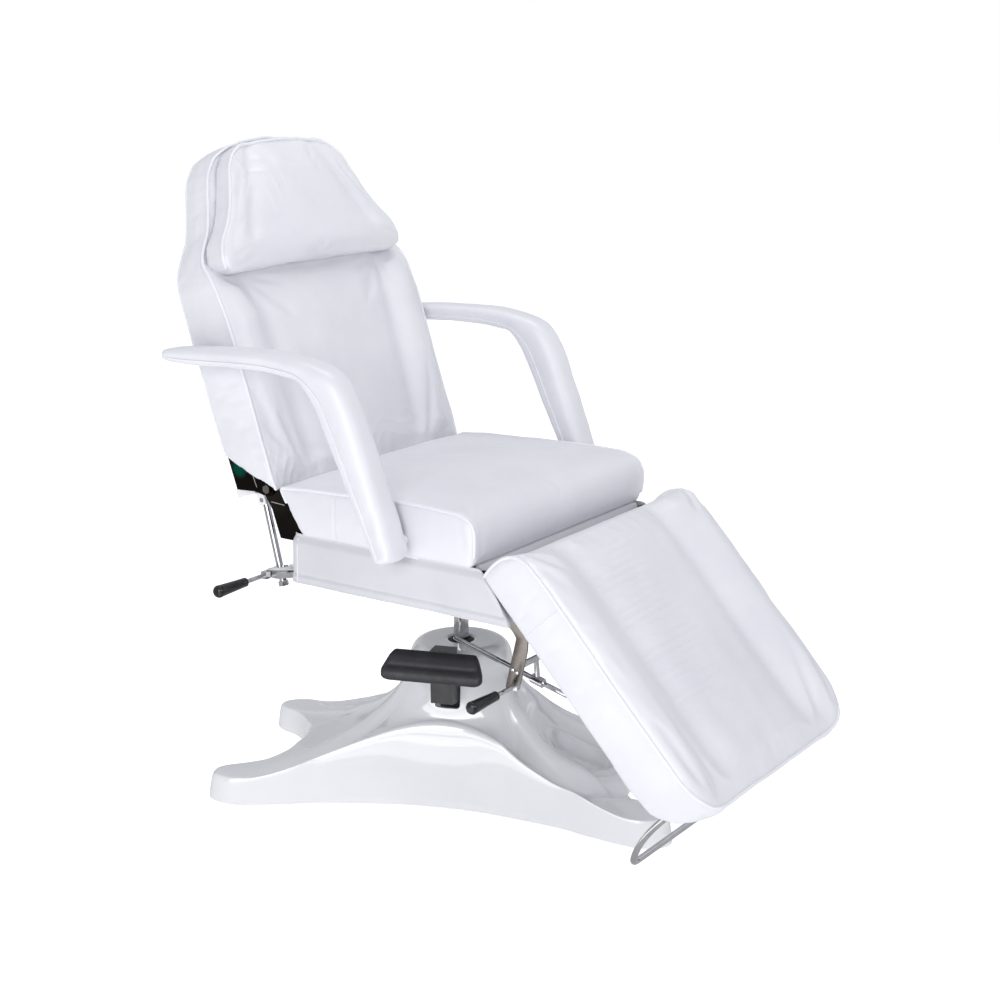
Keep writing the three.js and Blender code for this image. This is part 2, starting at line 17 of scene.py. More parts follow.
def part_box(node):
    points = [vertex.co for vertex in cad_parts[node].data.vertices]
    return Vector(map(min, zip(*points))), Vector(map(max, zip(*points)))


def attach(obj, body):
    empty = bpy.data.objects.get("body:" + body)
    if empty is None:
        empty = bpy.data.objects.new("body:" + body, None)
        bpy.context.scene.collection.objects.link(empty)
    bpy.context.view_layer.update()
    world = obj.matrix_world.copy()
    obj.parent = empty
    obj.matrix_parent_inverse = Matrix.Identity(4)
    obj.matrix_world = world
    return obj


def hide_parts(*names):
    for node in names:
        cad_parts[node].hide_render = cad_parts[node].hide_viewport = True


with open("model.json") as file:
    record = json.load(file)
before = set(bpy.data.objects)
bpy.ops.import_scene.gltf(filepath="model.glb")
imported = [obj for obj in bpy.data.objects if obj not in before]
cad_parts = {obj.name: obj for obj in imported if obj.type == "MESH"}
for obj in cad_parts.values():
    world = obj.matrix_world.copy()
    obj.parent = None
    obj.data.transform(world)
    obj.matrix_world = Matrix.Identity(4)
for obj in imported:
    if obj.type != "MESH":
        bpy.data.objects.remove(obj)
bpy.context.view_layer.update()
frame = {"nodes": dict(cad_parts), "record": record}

JOINTS = {joint["name"]: joint for joint in frame["record"]["behaviour"]["joints"]}


# ---- frames of the tilted and turned groups ----
def tilted(joint, degrees):
    """The frame of a section that hangs on a joint, turned back by its tilt at rest."""
    return Matrix.Translation(JOINTS[joint]["pos_m"]) @ Matrix.Rotation(math.radians(degrees), 4, "X")


# In the backrest's frame +Z runs up it and +Y out of its rear face. In the leg rest's frame -Y runs
# down it and +Z out of its front face. Both lie level at the end of their joint's range.
BACK = tilted("back_recline", JOINTS["back_recline"]["range_deg"][1] - 90)
LEG = tilted("leg_raise", JOINTS["leg_raise"]["range_deg"][1])
BASE = Matrix.Rotation(math.radians(20), 4, "Z")  # the moulded base and its pedal, turned from the seat

HALF_WIDTH = 0.305  # of the seat, the backrest and the leg rest
PIPING = 0.0034  # radius of the welts along the cushion seams
FINE_PIPING = 0.0009  # radius of the joints sewn into the side panels
SEAM_STEP = 0.004  # between the points that hold a seam
BEYOND = 0.4  # past everything on both sides, for solids that only trim others
SIDES = (("right", -1), ("left", 1))


# ---- numbers and curves ----
def smoothstep(low, high, value):
    t = np.clip((value - low) / (high - low), 0, 1)
    return t * t * (3 - 2 * t)


def bump(value, centre, width):
    """1 at the centre, falling smoothly to nothing over a few widths."""
    return np.exp(-((value - centre) / width) ** 2)


def noise(points, cell, seed, period=32):
    """Smooth noise from -1 to 1 at each point, with features of about one cell, repeated each period."""
    table = np.random.default_rng(seed).uniform(-1, 1, (period, period, period))
    q = points / cell + 1000  # any fixed place in the pattern
    low = np.floor(q).astype(int)
    f = q - low
    f = f * f * (3 - 2 * f)
    total = np.zeros(len(points))
    for corner in np.ndindex(2, 2, 2):
        weight = np.prod(np.where(corner, f, 1 - f), axis=1)
        i, j, k = ((low + corner) % period).T
        total += weight * table[i, j, k]
    return total


def rounded(points, radius, steps=5, closed=True):
    """A polyline with its corners rounded by quadratic curves. radius is one number or one per point."""
    points = [np.array(p, float) for p in points]
    count = len(points)
    out = []
    for i, corner in enumerate(points):
        if not closed and i in (0, count - 1):
            out.append(corner)
            continue
        before, after = points[i - 1] - corner, points[(i + 1) % count] - corner
        r = radius[i] if isinstance(radius, (list, tuple)) else radius
        a = corner + before * min(r / np.linalg.norm(before), 0.49)
        b = corner + after * min(r / np.linalg.norm(after), 0.49)
        for t in np.linspace(0, 1, steps):
            out.append((1 - t) ** 2 * a + 2 * t * (1 - t) * corner + t ** 2 * b)
    return out


def curve(start, control, end, count):
    """A quadratic curve without its first point."""
    t = np.linspace(0, 1, count + 1)[1:, None]
    start, control, end = (np.array(p, float) for p in (start, control, end))
    return list((1 - t) ** 2 * start + 2 * t * (1 - t) * control + t ** 2 * end)


def resampled(points, step, closed=False):
    """The same polyline with evenly spaced points."""
    points = np.array([*points, points[0]] if closed else points, float)
    along = np.concatenate([[0], np.cumsum(np.linalg.norm(np.diff(points, axis=0), axis=1))])
    count = max(int(round(along[-1] / step)), 4)
    at = np.linspace(0, along[-1], count + 1)
    even = np.stack([np.interp(at, along, points[:, k]) for k in range(points.shape[1])], axis=1)
    return even[:-1] if closed else even


def mirrored(points):
    """An outline or a seam from one half: the other half follows in reverse, mirrored across X."""
    return [*points, *[(-x, *rest) for x, *rest in reversed(points) if x != 0]]


# ---- meshes ----
def mesh_object(name, vertices, faces):
    mesh = bpy.data.meshes.new(name)
    mesh.from_pydata([tuple(v) for v in vertices], [], [tuple(f) for f in faces])
    mesh.validate()
    obj = bpy.data.objects.new(name, mesh)
    bpy.context.collection.objects.link(obj)
    return obj


def outward(obj):
    """Turns the faces of a closed mesh outwards."""
    bm = bmesh.new()
    bm.from_mesh(obj.data)
    bmesh.ops.recalc_face_normals(bm, faces=bm.faces)
    bm.to_mesh(obj.data)
    bm.free()
    return obj


def smooth_shading(obj, angle=None):
    """Shades smooth everywhere, or only where faces meet at less than the angle, in degrees."""
    obj.data.shade_smooth()
    if angle is not None:
        obj.data.set_sharp_from_angle(angle=math.radians(angle))
    return obj


def coords(obj):
    flat = np.empty(len(obj.data.vertices) * 3)
    obj.data.vertices.foreach_get("co", flat)
    return flat.reshape(-1, 3)


def set_coords(obj, points):
    obj.data.vertices.foreach_set("co", np.ascontiguousarray(points, dtype=float).ravel())
    obj.data.update()


def normals(obj):
    flat = np.empty(len(obj.data.vertices) * 3)
    obj.data.vertices.foreach_get("normal", flat)
    return flat.reshape(-1, 3)


def apply_modifiers(obj):
    """Puts what the modifiers make in the place of the object's mesh."""
    graph = bpy.context.evaluated_depsgraph_get()
    mesh = bpy.data.meshes.new_from_object(obj.evaluated_get(graph))
    obj.modifiers.clear()
    old = obj.data
    obj.data = mesh
    bpy.data.meshes.remove(old)
    return obj


def with_modifier(obj, kind, **values):
    modifier = obj.modifiers.new(kind.title(), kind)
    for key, value in values.items():
        setattr(modifier, key, value)
    return apply_modifiers(obj)


def bevelled(obj, width=0.0006, segments=2, angle=35):
    """Eases a solid's sharp edges, and shades it smooth up to the angle, in degrees."""
    with_modifier(obj, "BEVEL", width=width, segments=segments, limit_method="ANGLE")
    return smooth_shading(obj, angle)


def delete(obj):
    mesh = obj.data
    bpy.data.objects.remove(obj)
    bpy.data.meshes.remove(mesh)


def prism(name, outline, low, high, across):
    """A solid from an outline in two axes, from low to high along the axis named across."""
    axis = "xyz".index(across)
    rest = [k for k in range(3) if k != axis]
    count = len(outline)
    vertices = np.zeros((2 * count, 3))
    for end, depth in enumerate((low, high)):
        vertices[end * count:(end + 1) * count, rest] = outline
        vertices[end * count:(end + 1) * count, axis] = depth
    walls = [(i, (i + 1) % count, count + (i + 1) % count, count + i) for i in range(count)]
    caps = [tuple(range(count)), tuple(range(count, 2 * count))]
    return outward(mesh_object(name, vertices, walls + caps))


def common(a, b, operation="INTERSECT"):
    """What two solids share, or with DIFFERENCE the first without the second, which is used up."""
    with_modifier(a, "BOOLEAN", object=b, operation=operation, solver="EXACT")
    delete(b)
    return a


def grid_faces(rows, columns, closed_rows, closed_columns):
    faces = []
    for i in range(rows if closed_rows else rows - 1):
        for j in range(columns if closed_columns else columns - 1):
            k, m = (i + 1) % rows, (j + 1) % columns
            faces.append((i * columns + j, k * columns + j, k * columns + m, i * columns + m))
    return faces


def lathe(name, profile, sides=96):
    """A turned solid about +Z, from (radius, height) points that start and end on the axis or close."""
    on_axis = profile[0][0] < 1e-9
    body = profile[1:-1] if on_axis else profile
    vertices = []
    for i in range(sides):
        c, s = math.cos(2 * math.pi * i / sides), math.sin(2 * math.pi * i / sides)
        vertices += [(r * c, r * s, z) for r, z in body]
    faces = grid_faces(sides, len(body), True, not on_axis)
    if on_axis:
        for end, column in ((profile[0], 0), (profile[-1], len(body) - 1)):
            vertices.append((0, 0, end[1]))
            tip = len(vertices) - 1
            rim = [i * len(body) + column for i in range(sides)]
            faces += [(rim[i], rim[(i + 1) % sides], tip) for i in range(sides)]
    return outward(mesh_object(name, vertices, faces))


def tube(name, path, radius, sides):
    """A tube of round section along a path of points, with domed ends."""
    path = np.array(path, float)
    count = len(path)
    ahead = np.roll(path, -1, axis=0) - np.roll(path, 1, axis=0)
    ahead[0], ahead[-1] = path[1] - path[0], path[-1] - path[-2]
    ahead /= np.linalg.norm(ahead, axis=1)[:, None]
    side = np.cross(ahead[0], [0.3, 0.5, 0.8])
    rings = []
    for i in range(count):
        side = side - ahead[i] * (side @ ahead[i])
        side /= np.linalg.norm(side)
        up = np.cross(ahead[i], side)
        turn = np.linspace(0, 2 * math.pi, sides, endpoint=False)[:, None]
        rings.append(path[i] + radius * (np.cos(turn) * side + np.sin(turn) * up))
    dome = [(0.92, 0.4), (0.71, 0.71), (0.38, 0.92)]
    start = [path[0] + (rings[0] - path[0]) * c - ahead[0] * radius * s for c, s in reversed(dome)]
    end = [path[-1] + (rings[-1] - path[-1]) * c + ahead[-1] * radius * s for c, s in dome]
    rings = start + rings + end
    vertices = np.concatenate(rings)
    faces = grid_faces(len(rings), sides, False, True)
    faces += [tuple(range(sides)), tuple(range((len(rings) - 1) * sides, len(rings) * sides))]
    return smooth_shading(outward(mesh_object(name, vertices, faces)), 60)


def joined(name, objects):
    """One object that holds the meshes of several."""
    bm = bmesh.new()
    for obj in objects:
        part = obj.data
        part.transform(obj.matrix_world)
        bm.from_mesh(part)
    mesh = bpy.data.meshes.new(name)
    bm.to_mesh(mesh)
    bm.free()
    for obj in objects:
        delete(obj)
    whole = bpy.data.objects.new(name, mesh)
    bpy.context.collection.objects.link(whole)
    return whole


# ---- materials ----
class Shader:
    """A principled material with small helpers for procedural detail in object coordinates."""

    def __init__(self, name, **sockets):
        self.material = bpy.data.materials.new(name)
        self.material.use_nodes = True
        self.nodes = self.material.node_tree.nodes
        self.links = self.material.node_tree.links
        self.surface = self.nodes["Principled BSDF"]
        for key, value in sockets.items():
            socket = self.surface.inputs[key.replace("_", " ").title().replace("Ior", "IOR")]
            socket.default_value = (*value, 1) if isinstance(value, tuple) else value
        self.place = self.nodes.new("ShaderNodeTexCoord").outputs["Object"]
        self.normal = None

    def node(self, kind, inputs=None, **properties):
        node = self.nodes.new(kind)
        for key, value in properties.items():
            setattr(node, key, value)
        for key, value in (inputs or {}).items():
            if isinstance(value, bpy.types.NodeSocket):
                self.links.new(value, node.inputs[key])
            else:
                node.inputs[key].default_value = value
        return node

    def stretched(self, scale):
        return self.node("ShaderNodeMapping", {"Vector": self.place, "Scale": scale}).outputs["Vector"]

    def noise(self, scale, detail, roughness, place=None, distortion=0.0):
        inputs = {"Vector": place or self.place, "Scale": scale, "Detail": detail}
        inputs |= {"Roughness": roughness, "Distortion": distortion}
        return self.node("ShaderNodeTexNoise", inputs).outputs["Fac"]

    def cells(self, scale):
        inputs = {"Vector": self.place, "Scale": scale}
        return self.node("ShaderNodeTexVoronoi", inputs, feature="DISTANCE_TO_EDGE").outputs["Distance"]

    def ramp(self, factor, low, high, start=0.3, end=0.7):
        inputs = {"Value": factor, "From Min": start, "From Max": end, "To Min": low, "To Max": high}
        return self.node("ShaderNodeMapRange", inputs).outputs["Result"]

    def colours(self, factor, stops):
        node = self.node("ShaderNodeValToRGB", {"Fac": factor})
        ramp = node.color_ramp
        while len(ramp.elements) < len(stops):
            ramp.elements.new(0.5)
        for element, (position, colour) in zip(ramp.elements, stops):
            element.position = position
            element.color = (*colour, 1)
        self.links.new(node.outputs["Color"], self.surface.inputs["Base Color"])

    def rough(self, factor, low, high):
        self.links.new(self.ramp(factor, low, high), self.surface.inputs["Roughness"])

    def raised(self, height, distance, strength):
        inputs = {"Height": height, "Distance": distance, "Strength": strength}
        if self.normal is not None:
            inputs["Normal"] = self.normal
        self.normal = self.node("ShaderNodeBump", inputs).outputs["Normal"]
        self.links.new(self.normal, self.surface.inputs["Normal"])


def vinyl(name, tone=1.0, creased=None):
    """White leathercloth: a fine pebbled grain, faint stretch marks, and a cool satin sheen.

    Fine crosswise creases are pressed into the middle of the leg rest, if its frame is given."""
    s = Shader(name, sheen_weight=0.08, sheen_roughness=0.4, coat_weight=0.12, coat_roughness=0.3)
    shade = [tuple(tone * c for c in colour) for colour in ((0.655, 0.658, 0.700), (0.705, 0.705, 0.737))]
    s.colours(s.noise(7, 5, 0.6), [(0.3, shade[0]), (0.7, shade[1])])
    s.rough(s.noise(38, 4, 0.6), 0.36, 0.48)
    s.raised(s.noise(16, 3, 0.5), 0.0022, 0.35)
    s.raised(s.noise(120, 3, 0.55, s.stretched((1, 0.35, 0.6)), 0.6), 0.0004, 0.3)
    s.raised(s.cells(720), 0.00025, 0.55)
    if creased is not None:
        turn = creased.inverted()
        panel = s.node("ShaderNodeMapping", {"Vector": s.place, "Location": turn.translation,
                                             "Rotation": turn.to_euler()}).outputs["Vector"]
        x, a, t = s.node("ShaderNodeSeparateXYZ", {0: panel}).outputs
        wave = {"Vector": panel, "Scale": 20.5, "Distortion": 1.5, "Detail": 1.0, "Detail Scale": 0.35}
        bands = s.node("ShaderNodeTexWave", wave, bands_direction="Y").outputs["Fac"]
        height = s.ramp(bands, 0, 1, 0.74, 1.0)
        long = s.node("ShaderNodeMapping", {"Vector": panel, "Scale": (0.2, 1.0, 1.0)}).outputs["Vector"]
        uneven = s.ramp(s.noise(30, 2, 0.5, long), 0.1, 1, 0.36, 0.62)
        edges = [s.ramp(x, 0, 1, -0.178, -0.155), s.ramp(x, 1, 0, -0.04, 0.05),
                 s.ramp(a, 0, 1, -0.43, -0.38), s.ramp(a, 1, 0, -0.06, -0.03), s.ramp(t, 0, 1, 0.080, 0.095)]
        for factor in (uneven, *edges):
            height = s.node("ShaderNodeMath", {0: height, 1: factor}, operation="MULTIPLY").outputs[0]
        s.raised(height, 0.0010, 0.7)
    return s.material


def moulded_gloss():
    """Glossy white moulding: a hard clear coat over white, with the faint ripple of the mould."""
    s = Shader("gloss_shell", coat_weight=0.9, coat_roughness=0.03, specular_ior_level=0.55)
    s.colours(s.noise(5, 4, 0.6), [(0.3, (0.715, 0.717, 0.740)), (0.7, (0.750, 0.751, 0.768))])
    s.rough(s.noise(60, 5, 0.65), 0.09, 0.17)
    s.raised(s.noise(24, 2, 0.4), 0.0011, 0.3)
    s.raised(s.noise(420, 2, 0.5), 0.00006, 0.5)
    return s.material


def plated(name, dark, light, smooth, worn):
    """Plated or polished steel, with fine drawing lines and small dull patches."""
    s = Shader(name, metallic=1.0)
    s.colours(s.noise(30, 4, 0.6), [(0.3, dark), (0.7, light)])
    s.rough(s.noise(75, 5, 0.7), smooth, worn)
    s.raised(s.noise(500, 2, 0.5, s.stretched((1, 1, 0.05))), 0.00005, 0.35)
    return s.material


def dark_mirror(painted_reflection_at=None):
    """Polished hinge plate, seen dark. Given a place, it gets a painted reflection of something green near
    that place.
    """
    s = Shader("dark_mirror" if painted_reflection_at is None else "dark_mirror_painted_green_reflection", metallic=1.0)
    mottle = s.noise(9, 2, 0.5, None, 0.4)
    dark = [(0.3, (0.012, 0.010, 0.009)), (0.7, (0.034, 0.029, 0.025))]
    if painted_reflection_at is None:
        s.colours(mottle, dark)
    else:
        # A painted green reflection, strongest at the given place and fading out around it.
        offset = s.node("ShaderNodeVectorMath", {0: s.place, 1: painted_reflection_at}, operation="SUBTRACT").outputs[0]
        far = s.node("ShaderNodeVectorMath", {0: offset}, operation="LENGTH").outputs["Value"]
        s.colours(s.ramp(far, 0.9, 0.1, 0.006, 0.034), [*dark[:1], (0.45, (0.012, 0.010, 0.009)),
                                                       (0.80, (0.004, 0.105, 0.075))])
    s.rough(s.noise(140, 4, 0.7), 0.07, 0.14)
    s.raised(s.noise(60, 2, 0.5), 0.0003, 0.3)
    return s.material


def powder_coat(name, dark, light):
    """Painted steel, with a fine orange-peel skin."""
    s = Shader(name, coat_weight=0.1, coat_roughness=0.25)
    s.colours(s.noise(40, 4, 0.6), [(0.3, dark), (0.7, light)])
    s.rough(s.noise(300, 3, 0.6), 0.38, 0.55)
    s.raised(s.noise(900, 3, 0.6), 0.00012, 0.6)
    return s.material


def rubber(name):
    """Moulded black rubber, slightly dusty, with a fine matt texture."""
    s = Shader(name, specular_ior_level=0.42)
    s.colours(s.noise(22, 5, 0.65), [(0.3, (0.011, 0.011, 0.014)), (0.72, (0.024, 0.024, 0.030))])
    s.rough(s.noise(90, 4, 0.65), 0.42, 0.62)
    s.raised(s.noise(1100, 2, 0.6), 0.00012, 0.7)
    return s.material


def grip_plastic():
    """Hard black plastic, almost glossy."""
    s = Shader("grip_plastic", coat_weight=0.1, coat_roughness=0.05, specular_ior_level=0.35)
    s.colours(s.noise(50, 4, 0.6), [(0.3, (0.007, 0.007, 0.008)), (0.7, (0.015, 0.015, 0.017))])
    s.rough(s.noise(160, 4, 0.6), 0.12, 0.24)
    s.raised(s.noise(800, 2, 0.5), 0.00006, 0.5)
    return s.material


VINYL = vinyl("white_vinyl")
LEG_VINYL = vinyl("leg_vinyl", 1.0, LEG)
# The skirt's vinyl is the white vinyl darkened to a 0.84 tone: painted shade for its place under the
# overhanging seat cushion.
SHADED_SKIRT_VINYL = vinyl("skirt_vinyl_painted_shade", 0.84)
WELT = vinyl("white_welt", 1.07)
SHELL = moulded_gloss()
CHROME = plated("chrome", (0.50, 0.50, 0.515), (0.66, 0.66, 0.675), 0.05, 0.13)
HANGER_STEEL = plated("hanger_steel", (0.165, 0.150, 0.140), (0.215, 0.195, 0.183), 0.22, 0.34)
DARK_MIRROR = dark_mirror()
BLACK_STEEL = powder_coat("black_steel", (0.018, 0.018, 0.020), (0.035, 0.035, 0.038))
WHITE_STEEL = powder_coat("white_steel", (0.72, 0.72, 0.74), (0.80, 0.80, 0.82))
RUBBER = rubber("rubber")
GRIP = grip_plastic()


def finish(obj, material, body, nodes=()):
    """Gives a piece its material and body, and hides the CAD nodes that it stands for."""
    obj.data.materials.clear()
    obj.data.materials.append(material)
    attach(obj, body)
    if nodes:
        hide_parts(*nodes)
    return obj


# ---- upholstery ----
def inflate(obj, held, cap, slack, pressure=4.0, frames=20):
    """Blows a pad up as cloth, with the seams held, and keeps each point within the cap of its place."""
    start = coords(obj)
    group = obj.vertex_groups.new(name="held")
    for level in np.unique(np.round(held, 1)):
        group.add(np.nonzero(np.round(held, 1) == level)[0].tolist(), float(level), "REPLACE")
    cloth = obj.modifiers.new("Cloth", "CLOTH")
    settings = cloth.settings
    settings.quality = 6
    settings.mass = 0.3
    settings.tension_stiffness = settings.compression_stiffness = 22
    settings.shear_stiffness = 8
    settings.bending_stiffness = 2.5
    settings.use_pressure = True
    settings.uniform_pressure_force = pressure
    settings.vertex_group_mass = "held"
    settings.shrink_min = -slack
    settings.effector_weights.gravity = 0
    cloth.collision_settings.use_collision = False
    scene = bpy.context.scene
    for step in range(1, frames + 1):
        scene.frame_set(step)
    blown = obj.evaluated_get(bpy.context.evaluated_depsgraph_get())
    moved = coords(blown) - start
    obj.modifiers.clear()
    obj.vertex_groups.clear()
    length = np.linalg.norm(moved, axis=1)[:, None]
    moved *= np.minimum(1, cap / np.maximum(length, 1e-9))
    set_coords(obj, start + moved)
    scene.frame_set(1)


def distance_to(points, path):
    """Distance from each point to the nearest of a path's points."""
    best = np.full(len(points), np.inf)
    for spot in path:
        best = np.minimum(best, np.linalg.norm(points - spot, axis=1))
    return best


def pad(name, solid, seams, shape, detail, slack, cap, flat=None, voxel=0.0065):
    """Turns a plain solid into an upholstered form.

    It is remeshed, shaped, blown up between its seams and subdivided. shape and detail move points
    before and after. slack is how much larger the cover is than the form, and cap how far a point may
    move. flat tells where the pad is stapled to its board."""
    obj = with_modifier(solid, "REMESH", mode="VOXEL", voxel_size=voxel)
    obj.name = name
    with_modifier(obj, "SMOOTH", factor=0.5, iterations=3)
    points = coords(obj)
    set_coords(obj, points + shape(points, normals(obj)))
    points = coords(obj)
    held = flat(points) if flat else np.zeros(len(points))
    for seam in seams:
        held = np.maximum(held, 1 - smoothstep(0.007, 0.022, distance_to(points, seam)))
    inflate(obj, held, cap, slack)
    with_modifier(obj, "SUBSURF", levels=1)
    points = coords(obj)
    set_coords(obj, points + normals(obj) * detail(points)[:, None])
    return smooth_shading(obj)


def on_surface(obj, path, lift):
    """A path moved on to an object's surface, then lifted off it along the surface's normal."""
    tree = BVHTree.FromObject(obj, bpy.context.evaluated_depsgraph_get())
    landed = []
    for spot in path:
        place, normal, _, _ = tree.find_nearest(Vector(spot))
        landed.append(place + normal * lift)
    return np.array([tuple(v) for v in landed])


def relaxed(path, rounds=4):
    """A path with its small kinks smoothed out and its ends kept."""
    for _ in range(rounds):
        middle = (np.roll(path, 1, axis=0) + np.roll(path, -1, axis=0)) / 2
        middle[0], middle[-1] = path[0], path[-1]
        path = (path + middle) / 2
    return path


def welt(name, obj, path, radius=PIPING):
    """A length of piping along a seam of an upholstered form."""
    path = on_surface(obj, resampled(path, 0.006), 0.25 * radius)
    return tube(name, relaxed(path), radius, 10)


def place(objects, matrix):
    for obj in objects:
        obj.data.transform(matrix)
        obj.data.update()


def upholster(cushion, lines, body, nodes, material=VINYL):
    """Finishes a cushion and the piping along its seams."""
    finish(cushion, material, body, nodes)
    for line in lines:
        finish(line, WELT, body)


def wrinkles(across, along, spacing, seed, sharp=5.0):
    """Thin raised creases that run across, at uneven spacing along, as a height from 0 to 1."""
    sway = noise(np.stack([across * 3, along * 0.5, across * 0], axis=1), 0.16, seed) * spacing * 0.9
    wave = np.sin(2 * math.pi * (along + sway) / spacing)
    uneven = 0.5 + 0.5 * noise(np.stack([across, along, along * 0], axis=1), spacing * 1.7, seed + 1)
    return np.exp(-sharp * (1 - wave)) * uneven


# The seat: a boxed cushion. Its side panels are flat, and its top and front are one crowned panel.
SEAT_SIDE = [
    (0.162, 0.569), (0.198, 0.632), (0.219, 0.659), (0.140, 0.665), (0.000, 0.671), (-0.120, 0.674),
    (-0.202, 0.671), (-0.231, 0.661), (-0.242, 0.640), (-0.241, 0.592), (-0.232, 0.569),
]


def seat_shape(points, normal):
    x, y, z = points.T
    top = smoothstep(0.62, 0.662, z)
    inside = 1 - np.abs(x / HALF_WIDTH) ** 3
    crown = 0.010 * inside * top * (1 - smoothstep(0.10, 0.21, y)) * (1 - smoothstep(-0.16, -0.24, y))
    front = smoothstep(-0.20, -0.24, y) * (1 - np.abs((z - 0.62) / 0.05).clip(0, 1) ** 2)
    side = smoothstep(0.285, 0.302, np.abs(x)) * bump(z, 0.62, 0.035)
    ridge = bump(np.hypot(y + 0.234, z - 0.660), 0, 0.011)
    lift = np.zeros_like(points)
    lift[:, 2] = crown
    return lift + normal * (0.001 * front * inside + 0.003 * side + 0.0018 * ridge)[:, None]


def seat_detail(points):
    x, y, z = points.T
    top = smoothstep(0.66, 0.672, z)
    rows = points * [0.35, 1, 1]
    soft = 0.0016 * noise(rows, 0.07, 11) + 0.0007 * noise(rows, 0.028, 12)
    far_corner = bump(x, 0.19, 0.11) * bump(y, 0.02, 0.13)
    folds = 0.0016 * wrinkles(x, y + 0.25 * x, 0.046, 14, 2.5) * far_corner
    side = smoothstep(0.296, 0.303, np.abs(x))
    joint = -0.0014 * side * bump(y, 0.078, 0.0022)
    return top * (soft + folds) + joint + 0.0006 * noise(points, 0.05, 13)


def seat_stapled(points):
    return points[:, 2] < 0.572


def build_seat():
    outline = rounded(SEAT_SIDE, 0.008, 3)
    solid = prism("seat_pad", outline, -HALF_WIDTH, HALF_WIDTH, "x")
    edge = resampled(SEAT_SIDE[1:-1], SEAM_STEP)
    seams = [[(sign * HALF_WIDTH, y, z) for y, z in edge] for _, sign in SIDES]
    seat = pad("seat_pad", solid, seams, seat_shape, seat_detail, 0.001, 0.008, seat_stapled)
    lines = [welt(f"seat_welt_{side}", seat, seam) for (side, _), seam in zip(SIDES, seams)]
    for side, sign in SIDES:
        joint = [(sign * HALF_WIDTH, 0.078, 0.576), (sign * HALF_WIDTH, 0.080, 0.655)]
        lines.append(welt(f"seat_side_seam_{side}", seat, joint, FINE_PIPING))
    upholster(seat, lines, "seat", ["seat_cushion"])


# The backrest: one form with its board inside, wide up to the shoulders and narrow at the head.
BACK_REAR = 0.079
BACK_FRONT = -0.028
HEAD_FRONT = 0.016
BACK_EDGE = [
    (0.305, -0.012), (0.305, 0.405), (0.297, 0.440), (0.272, 0.475), (0.243, 0.512), (0.225, 0.552),
    (0.212, 0.592), (0.198, 0.625), (0.168, 0.657), (0.118, 0.677), (0.058, 0.687), (0.0, 0.690),
]
BACK_SIDE = [
    (BACK_FRONT, -0.009), (BACK_REAR, 0.080), (BACK_REAR, 0.72), (HEAD_FRONT, 0.72), (HEAD_FRONT, 0.452),
    (-0.006, 0.428), (-0.020, 0.395), (-0.027, 0.33), (BACK_FRONT, 0.20),
]


def back_valley(u):
    """How far from the middle the valley beside each bolster runs, at a height up the back."""
    return 0.175 + 0.030 * u / 0.4


def back_shape(points, normal):
    x, v, u = points.T
    front = smoothstep(0.02, -0.022, v) * smoothstep(0.44, 0.36, u)
    across = np.abs(x)
    valley = back_valley(u)
    bolster = bump(across, (valley + HALF_WIDTH) / 2, 0.038)
    hollow = bump(across, valley, 0.026)
    centre = 1 - smoothstep(0, valley * 0.95, across)
    ends = smoothstep(0.0, 0.05, u)
    lift = front * (0.012 * bolster - 0.013 * hollow + 0.006 * centre) * ends
    side = smoothstep(0.285, 0.302, across) * bump(v, 0.03, 0.03) * smoothstep(0.45, 0.40, u)
    move = normal * (0.0025 * side)[:, None]
    move[:, 1] -= lift
    return move


def back_detail(points):
    x, v, u = points.T
    front = smoothstep(0.0, -0.02, v)
    soft = 0.0014 * noise(points * [1, 1, 0.4], 0.06, 21) + 0.0005 * noise(points, 0.03, 22)
    corners = smoothstep(0.20, 0.28, np.abs(x)) * smoothstep(0.12, 0.03, u)
    gather = 0.0028 * corners * wrinkles(u, np.abs(x) + 0.5 * u, 0.021, 23, 2.0)
    lower = 0.0014 * bump(u, 0.05, 0.05) * wrinkles(x, u + 0.2 * x, 0.03, 24, 2.0)
    return front * (soft + gather + lower) + 0.0006 * noise(points, 0.045, 25)


def build_back():
    """Modelled upright in the backrest's frame, then leaned back into place."""
    plan = prism("back_pad", mirrored(BACK_EDGE), BACK_FRONT - 0.01, BACK_REAR, "y")
    side = prism("side_view", BACK_SIDE, -BEYOND, BEYOND, "x")
    front_edge = [(HALF_WIDTH, v, u) for v, u in ((BACK_FRONT + 0.001, -0.005), (BACK_FRONT, 0.20),
                                                  (-0.027, 0.33), (-0.019, 0.395))]
    front_edge += [(0.300, -0.008, 0.425), (0.292, 0.006, 0.448)]
    front_edge += [(x, HEAD_FRONT, u) for x, u in BACK_EDGE if u > 0.46]
    front_seam = resampled(mirrored(front_edge), SEAM_STEP)
    low_seam = resampled([(-HALF_WIDTH, BACK_FRONT, -0.007), (HALF_WIDTH, BACK_FRONT, -0.007)], SEAM_STEP)
    rear_edge = [(x, BACK_REAR, u) for x, u in [(HALF_WIDTH, 0.085), *BACK_EDGE[1:]]]
    rear_seam = resampled(mirrored(rear_edge), SEAM_STEP)
    seams = [front_seam, low_seam, rear_seam]
    back = pad("back_pad", common(plan, side), seams, back_shape, back_detail, 0.006, 0.007)
    lines = [welt("back_welt", back, front_seam), welt("back_rear_welt", back, rear_seam, 0.0024)]
    place([back, *lines], BACK)
    upholster(back, lines, "back", ["back_cushion", "back_board"])


# The head pillow: a flat pad sewn to the head, with side bolsters and a rolled lower edge.
PILLOW_EDGE = [
    (0.256, 0.418), (0.274, 0.431), (0.277, 0.450), (0.266, 0.480), (0.232, 0.516), (0.211, 0.549),
    (0.194, 0.588), (0.178, 0.626), (0.154, 0.655), (0.118, 0.672), (0.060, 0.676), (0.0, 0.677),
]


def pillow_inner(u):
    """Half the width of the pillow's flat middle, at a height up it."""
    return np.interp(u, [0.42, 0.469, 0.555, 0.64, 0.69], [0.22, 0.195, 0.150, 0.112, 0.085])


